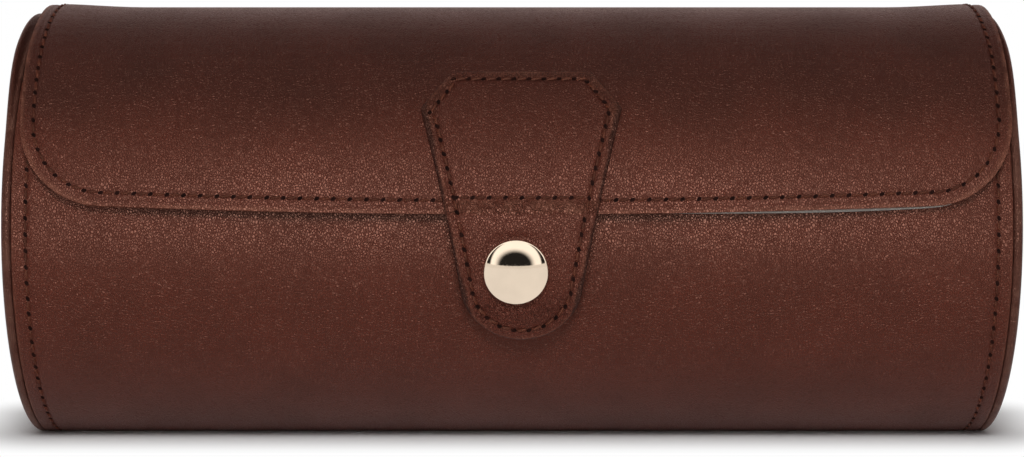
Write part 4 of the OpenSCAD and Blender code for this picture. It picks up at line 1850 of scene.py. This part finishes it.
@dataclass
class Inside:
    """Suede linings, mouth bindings and the two dividers."""

    room_r: float = 40.8 * MM
    room_floor: float = 4.2 * MM
    room_half: float = 98.65 * MM
    lining_t: float = 0.85 * MM
    divider_x: float = 33.433 * MM
    divider_t: float = 3.2 * MM
    divider_top: float = 28.0 * MM
    divider_round: float = 1.15 * MM
    divider_seam: float = 3.2 * MM
    crown_r: float = 60.0 * MM
    snug: float = 0.2 * MM
    binding_t: float = 0.3 * MM
    pad_x: float = 99.45 * MM
    lid_room_r: float = 45.34 * MM
    lid_lining_t: float = 0.76 * MM
    lid_in: float = 0.9 * MM
    lid_inset: float = 0.20 * MM
    peek: float = 0.62 * MM
    peek_x: float = 66.0 * MM
    peek_width: float = 30.0 * MM
    near_reach: float = 40.0
    pitch: float = 3.6 * MM
    thread: float = 0.5 * MM
    hole: float = 0.7 * MM

    def trough(self) -> None:
        """Lays the lining of the body, flat under the pillows."""
        degs = [46.2, 45.0, 43.0] + [40.0 - 4.0 * i for i in range(29)]
        degs += [-77.0, -80.0, -85.0, -90.0, -95.0, -100.0, -103.0]
        degs += [-106.0 - 4.0 * i for i in range(26)] + [-209.0, -211.0, -212.2]
        degs.reverse()
        columns = 48
        sheet = Bench.grid("trough_lining", columns, len(degs) - 1)

        def move(co: Vector) -> Vector:
            """Lays one vertex of the flat sheet inside the roll."""
            point = ROLL.at(-co.x * self.room_half, mark_at(degs, co.y), self.room_r)
            point.z = max(point.z, self.room_floor)
            return point

        Bench.shape(sheet, move)
        Bench.thicken(sheet, self.lining_t)
        Bench.round_rim(sheet, 0.25 * MM, 2)
        Bench.smooth(sheet, 50)
        PAINTS.on(sheet, LINING)
        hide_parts("body_lining")
        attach(sheet, "body")

    def bindings(self) -> None:
        """Binds both mouth edges with a folded strip of hide."""
        # Millimetres from the axis and angle of each corner of the fold.
        front = [(45.04, 45.6), (45.04, 47.6), (44.5, 48.5), (42.9, 48.8)]
        front += [(41.3, 48.5), (40.4, 47.6), (40.3, 44.6), (40.75, 44.4)]
        back = [(43.6, 148.8), (43.6, 146.6), (43.2, 146.1), (42.4, 145.9)]
        back += [(41.3, 146.2), (40.5, 147.0), (40.3, 149.6), (40.75, 149.8)]
        for name, corners in (("front", front), ("back", back)):
            loop = curved(corners, 2)
            if name == "back":
                loop.reverse()
            across = 30
            sheet = Bench.grid("mouth_binding_" + name, across, len(loop) - 1)

            def move(co: Vector, loop: Corners = loop) -> Vector:
                """Folds one vertex of the strip over the edge."""
                r, deg = mark_at(loop, co.y)
                return ROLL.at(co.x * self.room_half, deg, r * MM)

            Bench.shape(sheet, move)
            Bench.thicken(sheet, self.binding_t)
            mask(sheet, "edge")
            mask(sheet, "crease")
            Bench.smooth(sheet, 60)
            PAINTS.on(sheet, BACKING)
            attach(sheet, "body")

    def ends(self) -> None:
        """Turns the padded suede discs inside both ends."""
        pad = [(0.0, 1.25), (14.0, 1.22), (26.0, 1.10), (34.0, 0.92)]
        pad += [(38.0, 0.72), (40.4, 0.42), (41.6, 0.1), (42.5, 0.0)]
        section = scaled(pad)
        for side, sign in SIDES:
            face = Matrix.Rotation(-sign * math.pi / 2, 4, "Y")
            seat = Matrix.Translation((sign * self.pad_x, 0.0, ROLL.axis_z)) @ face
            disc = Lathe.turn("end_pad_" + side, section, 72, seat)
            Bench.shape(disc, lambda co: Vector((co.x, co.y, max(co.z, 2.4 * MM))))
            Bench.smooth(disc, 50)
            PAINTS.on(disc, LINING)
            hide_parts("end_lining_" + side)
            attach(disc, "body")

    def divider_outline(self) -> Corners:
        """Gives the outline of a divider as Y and Z."""
        r = self.room_r - self.snug
        crown_z = self.divider_top - self.crown_r
        meet = self._meet(r, crown_z)
        low = -math.degrees(math.acos((ROLL.axis_z - self.room_floor - self.snug) / r)) - 90.0
        points = []
        steps = 40
        start, stop = math.degrees(meet), -180.0 - low
        for i in range(steps + 1):
            a = math.radians(start + (stop - start) * i / steps)
            points.append((r * math.cos(a), ROLL.axis_z + r * math.sin(a)))
        points += [(-y, z) for y, z in reversed(points)]
        crown = []
        wide = r * math.cos(meet)
        steps = 24
        for i in range(1, steps):
            y = -wide + 2 * wide * i / steps
            crown.append((y, ROLL.axis_z + crown_z + math.sqrt(self.crown_r ** 2 - y * y)))
        return points + crown

    def _meet(self, r: float, crown_z: float) -> float:
        """Finds the angle at which the crown meets the wall.

        Args:
            r: Radius of the wall.
            crown_z: Height of the crown's middle over the axis.

        Returns:
            The angle in radians.
        """
        low, high = 0.0, math.pi / 2
        for _ in range(50):
            mid = (low + high) / 2
            y, z = r * math.cos(mid), r * math.sin(mid)
            if y * y + (z - crown_z) ** 2 < self.crown_r ** 2:
                low = mid
            else:
                high = mid
        return low

    def dividers(self) -> None:
        """Cuts both dividers, rounds their edges and sews along their tops."""
        outline = self.divider_outline()
        half = self.divider_t / 2
        for side, sign in SIDES:
            Bench.clear()
            bpy.ops.mesh.primitive_circle_add(vertices=len(outline), radius=10 * MM, fill_type="NGON")
            wall = Bench.name("divider_" + side)
            x = sign * self.divider_x
            for vertex, (y, z) in zip(wall.data.vertices, outline):
                vertex.co = (x - half, y, z)
            Bench.edit(wall)
            bpy.ops.mesh.extrude_region_move(TRANSFORM_OT_translate={"value": (self.divider_t, 0.0, 0.0)})
            Bench.done()
            Bench.outward(wall)
            Bench.round_rim(wall, self.divider_round, 4)
            Bench.smooth(wall, 60)
            PAINTS.on(wall, LINING)
            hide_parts("divider_cover_" + side)
            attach(wall, "body")
            lines = []
            for face in (-1.0, 1.0):
                spots = []
                for i in range(61):
                    y = (-27.0 + 54.0 * i / 60) * MM
                    bow = math.sqrt(self.crown_r ** 2 - y * y)
                    z = ROLL.axis_z + self.divider_top - self.crown_r - self.divider_seam + bow
                    spots.append((Vector((x + face * half, y, z)), Vector((face, 0.0, 0.0))))
                lines.append(spots)
            seam = Seam("divider_seam_" + side, pitch=self.pitch, thread=self.thread, hole=self.hole)
            seam.sew(lines, "body", PALE_THREAD)

    def lid(self, hide: OuterHide) -> None:
        """Lays the lining of the lid, whose edge just shows.

        Args:
            hide: The outer hide, whose outline it follows.
        """
        near = [0.0, 0.6, 1.2, 2.0, 3.0, 4.5, 6.5, 9.0, 12.0, 16.0, 21.0, 26.0, 31.0, 36.0]
        over = [ROLL.level + 4.0 * i for i in range(22)] + [133.4]
        rows = [(Row.EDGE, n) for n in near] + [(Row.ANGLE, d) for d in over]
        shares = [1.0, 0.994, 0.985, 0.975, 0.96, 0.94, 0.92, 0.90, 0.88, 0.86]
        columns = both_ways(shares + [0.83 - 0.83 * i / 16 for i in range(17)])
        columns.reverse()
        sheet = Bench.grid("lid_lining_sheet", len(columns) - 1, len(rows) - 1)

        def move(co: Vector) -> Vector:
            """Lays one vertex of the flat sheet under the lid."""
            x = mark_at(columns, co.x) * (ROLL.lid_half - self.lid_in)
            inset = self.lid_inset - self.peek * hump(self.peek_x, self.peek_width, x)
            low = math.degrees(math.asin((ROLL.front_height(x * 1.006) + inset) / ROLL.lid_r))
            deg = row_angle(mark_at(rows, co.y), low, self.near_reach)
            return ROLL.at(ROLL.sideways(x, deg), deg, self.lid_room_r)

        Bench.shape(sheet, move)
        Bench.thicken(sheet, self.lid_lining_t)
        Bench.round_rim(sheet, 0.22 * MM, 2)
        Bench.smooth(sheet, 50)
        PAINTS.on(sheet, LINING)
        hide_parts("lid_lining")
        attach(sheet, "lid")
        line = [(place - out * 3.02 * MM, -out) for place, out in hide.lid_line(2.7 * MM, 0.0)]
        Seam("lid_seam_inside", thread=self.thread, hole=self.hole).sew([line], "lid", PALE_THREAD)

    def build(self, hide: OuterHide) -> None:
        """Makes everything inside except the pillows."""
        self.trough()
        self.bindings()
        self.ends()
        self.dividers()
        self.lid(hide)
        LOG.info("inside: linings, bindings and dividers")


# --- pillows


@dataclass
class Pillows:
    """Three suede watch pillows, puffed by cloth pressure, with sewn end panels."""

    wide: float = 62.0 * MM
    high: float = 54.0 * MM
    long: float = 59.87 * MM
    spacing: float = 66.87 * MM
    middle_z: float = 31.5 * MM
    slack: float = 2.0 * MM
    cap: float = 2.2 * MM
    corner: float = 5.0 * MM
    voxel: float = 3.0 * MM
    frames: int = 20
    seam_in: float = 3.4 * MM
    welt_in: float = 3.3 * MM
    welt_r: float = 0.75 * MM
    welt_share: float = 0.958

    def block(self) -> Piece:
        """Models the pillow before it is filled.

        Returns:
            A rounded oval drum, a little smaller than the pillow.
        """
        Bench.clear()
        bpy.ops.mesh.primitive_cylinder_add(
            vertices=48, radius=0.5, depth=self.long - 2 * self.slack, rotation=(0.0, math.pi / 2, 0.0)
        )
        block = Bench.name("pillow_block")
        block.scale = (self.high - 2 * self.slack, self.wide - 2 * self.slack, 1.0)
        Bench.settle(block)
        Bench.apply(
            block, "BEVEL", width=self.corner, segments=4, limit_method="ANGLE", angle_limit=math.radians(50)
        )
        return block

    def fill(self, block: Piece) -> Piece:
        """Fills the pillow by cloth pressure, no further than its cap.

        Args:
            block: The block to fill.

        Returns:
            The filled pillow at the origin.
        """
        Bench.apply(block, "REMESH", mode="VOXEL", voxel_size=self.voxel, use_smooth_shade=True)
        start = [v.co.copy() for v in block.data.vertices]
        Bench.activate(block)
        cloth = block.modifiers.new("fill", "CLOTH")
        settings = cloth.settings
        settings.use_pressure = True
        settings.uniform_pressure_force = 4.0
        settings.effector_weights.gravity = 0.0
        settings.tension_stiffness = 12.0
        settings.compression_stiffness = 12.0
        settings.shear_stiffness = 6.0
        settings.bending_stiffness = 0.8
        cloth.point_cache.frame_start = 1
        cloth.point_cache.frame_end = self.frames
        for step in range(1, self.frames + 1):
            bpy.context.scene.frame_set(step)
        bpy.ops.object.modifier_apply(modifier="fill")
        bpy.context.scene.frame_set(1)
        for vertex, first in zip(block.data.vertices, start):
            way = vertex.co - first
            if way.length > self.cap:
                vertex.co = first + way.normalized() * self.cap
        Bench.apply(block, "SUBSURF", levels=1, render_levels=1)
        self._tuck(block)
        return block

    def _tuck(self, pillow: Piece) -> None:
        """Pulls the seams in and keeps the pillow clear of its bay.

        Args:
            pillow: The filled pillow.
        """
        ends = self.long / 2 - 0.15 * MM
        for vertex in pillow.data.vertices:
            co = vertex.co
            a = math.atan2(co.z / self.high, co.y / self.wide)
            reach = math.hypot(co.z / self.high * 2, co.y / self.wide * 2)
            seam = hump(self.long / 2 - self.seam_in, 1.3 * MM, abs(co.x))
            pucker = 0.35 + 0.20 * math.sin(26 * a) + 0.12 * math.sin(17 * a + 1.3)
            pull = 1.0 - 0.055 * seam * pucker * smoothstep(0.6, 0.9, reach)
            belly = 1.0 + 0.004 * math.sin(9 * a + 40 * co.x) * (1.0 - abs(co.x) / ends)
            co.y *= pull * belly
            co.z *= pull * belly
            co.x = max(-ends, min(ends, co.x))
            co.z = max(-self.high / 2 + 0.15 * MM, min(self.high / 2 - 0.1 * MM, co.z))
            co.y = max(-self.wide / 2, min(self.wide / 2, co.y))

    def welt(self, side: float) -> Piece:
        """Models the welt sewn round one end.

        Args:
            side: -1 for the left end, 1 for the right.

        Returns:
            The welt at the origin.
        """
        Bench.clear()
        bpy.ops.curve.primitive_bezier_circle_add(radius=0.5, rotation=(0.0, math.pi / 2, 0.0))
        welt = bpy.context.active_object
        welt.scale = (self.high * self.welt_share, self.wide * self.welt_share, 1.0)
        bpy.ops.object.transform_apply(location=False, rotation=True, scale=True)
        welt.data.bevel_depth = self.welt_r
        welt.data.bevel_resolution = 3
        welt.data.resolution_u = 24
        welt.location = (side * (self.long / 2 - self.welt_in), 0.0, 0.0)
        bpy.ops.object.convert(target="MESH")
        welt = bpy.context.active_object
        Bench.settle(welt)
        Bench.smooth(welt, 60)
        return welt

    def build(self) -> None:
        """Fills one pillow and copies it into the three bays."""
        model = self.fill(self.block())
        for name, sign in (("left", -1.0), ("middle", 0.0), ("right", 1.0)):
            place = Matrix.Translation((sign * self.spacing, 0.0, self.middle_z))
            pillow = Bench.twin(model)
            pillow.name = "watch_pillow_" + name
            pillow.data.name = pillow.name
            pillow.data.transform(place)
            Bench.smooth(pillow, 80)
            PAINTS.on(pillow, CUSHION)
            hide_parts("pillow_wrap_" + name, "pillow_ends_" + name)
            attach(pillow, "pillow_" + name)
            welt = self.welt(-1.0)
            Bench.weld(welt, [self.welt(1.0)])
            welt.name = "pillow_welt_" + name
            welt.data.transform(place)
            PAINTS.on(welt, CUSHION)
            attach(welt, "pillow_" + name)
        bpy.data.objects.remove(model)
        LOG.info("pillows: three")


# --- solids


@dataclass(frozen=True)
class Fittings:
    """Finishes of the solids, most of which the pieces above cover or replace."""

    boards: tuple[str, ...] = (
        "body_board", "end_board_left", "end_board_right",
        "divider_board_left", "divider_board_right", "lid_board",
    )
    steels: tuple[str, ...] = ("striker_plate", "striker_rivet", "striker_washer", "cap_rivet", "magnet_cup")

    def dress(self) -> None:
        """Gives every solid its finish."""
        for name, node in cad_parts.items():
            if name in self.boards:
                finish: Finish = BOARD
            elif name in self.steels:
                finish = STEEL
            elif name == "magnet":
                finish = DARK
            elif name == "snap_cap":
                finish = CAP
            elif name.startswith("pillow_core"):
                finish = FOAM
            elif name.startswith("pillow"):
                finish = CUSHION
            elif "lining" in name or "cover" in name:
                finish = LINING
            else:
                finish = BACKING
            PAINTS.on(node, finish)


# --- studio


@dataclass(frozen=True)
class SoftBox:
    """One soft box: its place, width and height, power, and whether only gloss sees it."""

    name: str
    place: tuple[float, float, float]
    size: tuple[float, float]
    watts: float
    gloss_only: bool = True


@dataclass
class Studio:
    """Pale floor, white surroundings, soft boxes and the camera."""

    distance: float = 529.4 * MM
    elevation: float = 6.0
    aim_z: float = 43.56 * MM
    lens: float = 84.17
    pool: tuple[float, float, float] = (0.1, 0.0095, 0.0)
    fade: tuple[float, float] = (0.001, 0.027)
    glow: float = 0.53
    boxes: tuple[SoftBox, ...] = (
        SoftBox("key", (0.0, -1.01, 0.64), (0.30, 0.24), 5.5, gloss_only=False),
        SoftBox("sheen", (0.0, -1.02, 0.42), (0.55, 0.62), 27.0),
        SoftBox("low_sheen", (0.0, -1.02, 0.07), (0.60, 0.10), 15.0),
    )

    def floor(self) -> None:
        """Adds a pale floor that fades to white away from the case."""
        Bench.clear()
        bpy.ops.mesh.primitive_grid_add(x_subdivisions=8, y_subdivisions=8, size=30.0)
        floor = Bench.name("studio_floor")
        material = bpy.data.materials.new("studio_white")
        material.use_nodes = True
        tree = material.node_tree
        tree.nodes.clear()
        w = Wires(tree)
        place = w.node("TexCoord").outputs["Object"]
        past = w.vector("SUBTRACT", w.vector("ABSOLUTE", place), self.pool)
        only = w.vector("MAXIMUM", past, (0.0, 0.0, 0.0))
        reach = w.node("VectorMath", {0: only}, operation="LENGTH").outputs["Value"]
        paper = w.noise(place, scale=90.0, detail=3.0)
        tone = w.mix(paper.outputs["Fac"], (0.93, 0.93, 0.93, 1.0), (0.96, 0.96, 0.96, 1.0))
        matt = w.node("BsdfDiffuse", {"Color": tone})
        path = w.node("LightPath").outputs
        mirrored = w.math("MAXIMUM", path["Is Glossy Ray"], path["Is Transmission Ray"])
        sharp = w.math("MAXIMUM", path["Is Camera Ray"], mirrored)
        strength = w.math("MULTIPLY_ADD", sharp, 1.0 - self.glow, self.glow)
        white = w.node("Emission", {"Color": (1.0, 1.0, 1.0, 1.0), "Strength": strength})
        far = w.node("MixShader", {0: w.span(reach, *self.fade, 0.0, 1.0)})
        w.feed(far.inputs[1], matt.outputs[0])
        w.feed(far.inputs[2], white.outputs[0])
        w.feed(w.node("OutputMaterial").inputs["Surface"], far.outputs[0])
        floor.data.materials.append(material)
        floor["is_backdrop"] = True

    def surroundings(self) -> None:
        """Makes the world: white to the camera, with boxes and dark flags for the gloss."""
        world = bpy.data.worlds.new("studio")
        bpy.context.scene.world = world
        world.use_nodes = True
        world.node_tree.nodes.clear()
        w = Wires(world.node_tree)
        way = w.node("SeparateXYZ", {"Vector": w.node("TexCoord").outputs["Generated"]}).outputs
        x, y, z = way["X"], way["Y"], way["Z"]
        # Gloss sees a bright field behind, and in front light round a dark hill and a dark ring.
        behind = w.times(w.span(y, 0.10, 0.35, 0.0, 1.05), w.span(z, 0.5, 0.9, 1.0, 0.0))
        front = w.span(y, 0.05, 0.25, 1.0, 0.0)
        across = w.math("DIVIDE", w.math("ADD", x, 0.03), 0.76)
        upward = w.math("DIVIDE", w.math("SUBTRACT", z, 0.12), 0.64)
        reach = w.math("SQRT", w.math("ADD", w.math("POWER", across, 2.0), w.math("POWER", upward, 2.0)))
        over = w.span(z, 0.105, 0.14, 0.0, 1.0)
        hill = w.times(w.span(reach, 0.80, 1.10, 1.0, 0.0), over)
        facing = w.math("MULTIPLY_ADD", z, 0.12, w.times(y, -1.0))
        ring = w.times(w.span(facing, 0.13, 0.20, 0.0, 1.0), w.span(facing, 0.33, 0.42, 1.0, 0.0))
        rims = w.times(w.times(ring, over), w.span(z, 0.75, 0.92, 1.0, 0.0))
        dark = w.times(w.math("SUBTRACT", 1.0, hill), w.math("SUBTRACT", 1.0, rims))
        boxes = w.times(w.times(front, dark), w.math("MULTIPLY_ADD", over, 0.5, 0.92))
        shiny = w.math("ADD", w.math("MAXIMUM", behind, boxes), 0.02)
        low = w.span(z, 0.1, 0.5, 0.13, 0.06)
        matt = w.math("MAXIMUM", w.times(behind, 0.3), w.times(low, front))
        share = w.node("LightPath").outputs["Is Glossy Ray"]
        diffuse = w.times(matt, w.math("SUBTRACT", 1.0, share))
        level = w.math("ADD", w.times(shiny, share), diffuse)
        warm = w.mix(w.span(y, 0.05, 0.3, 0.0, 1.0), (1.0, 0.985, 0.97, 1.0), (1.0, 0.80, 0.75, 1.0))
        soft = w.node("Background", {"Color": warm, "Strength": level})
        plain = w.node("Background", {"Color": (1.0, 1.0, 1.0, 1.0), "Strength": 1.0})
        path = w.node("LightPath")
        pick = w.node("MixShader", {0: path.outputs["Is Camera Ray"]})
        w.feed(pick.inputs[1], soft.outputs[0])
        w.feed(pick.inputs[2], plain.outputs[0])
        w.feed(w.node("OutputWorld").inputs["Surface"], pick.outputs[0])

    @staticmethod
    def hang(box: SoftBox, spared: Piece) -> None:
        """Hangs a soft box that looks at the case.

        Args:
            box: The soft box.
            spared: A piece that is flagged off from its light.
        """
        data = bpy.data.lights.new(box.name, "AREA")
        data.shape = "RECTANGLE"
        data.size, data.size_y = box.size
        data.energy = box.watts
        lamp = bpy.data.objects.new(box.name, data)
        bpy.context.collection.objects.link(lamp)
        lamp.location = box.place
        aim = Vector((0.0, 0.0, ROLL.axis_z)) - Vector(box.place)
        lamp.rotation_mode = "QUATERNION"
        lamp.rotation_quaternion = aim.to_track_quat("-Z", "Y")
        lamp.visible_diffuse = not box.gloss_only
        flag = bpy.data.collections.new(box.name + "_spares")
        flag.objects.link(spared)
        lamp.light_linking.receiver_collection = flag
        flag.collection_objects[0].light_linking.link_state = "EXCLUDE"

    def camera(self) -> None:
        """Sets up the camera at the height and distance of the view."""
        data = bpy.data.cameras.new("camera")
        data.lens = self.lens
        data.sensor_width = 36.0
        data.clip_start, data.clip_end = 0.01, 60.0
        camera = bpy.data.objects.new("camera", data)
        bpy.context.collection.objects.link(camera)
        a = math.radians(self.elevation)
        camera.location = (0.0, -self.distance * math.cos(a), ROLL.axis_z + self.distance * math.sin(a))
        aim = Vector((0.0, 0.0, self.aim_z)) - camera.location
        camera.rotation_mode = "QUATERNION"
        camera.rotation_quaternion = aim.to_track_quat("-Z", "Y")
        bpy.context.scene.camera = camera

    def build(self) -> None:
        """Sets the stage."""
        bpy.context.scene.view_settings.view_transform = "Standard"
        self.floor()
        self.surroundings()
        for box in self.boxes:
            self.hang(box, bpy.data.objects["snap_dome"])
        self.camera()


def plain(box: tuple[Vector, Vector]) -> list[list[float]]:
    """Turns a box into plain lists of numbers."""
    return [[float(a) for a in corner] for corner in box]


def main() -> None:
    """Builds the case, sub-assembly by sub-assembly."""
    logging.basicConfig(level=logging.INFO, format="%(name)s: %(message)s")
    Fittings().dress()
    hide = OuterHide()
    hide.build()
    EndCaps().build()
    ClosingTab().build()
    Inside().build(hide)
    Pillows().build()
    Studio().build()
    Bench.clear()
    {"cad": plain(CAD_BOX), "visual": plain(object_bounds())}


if __name__ == "__main__":
    main()
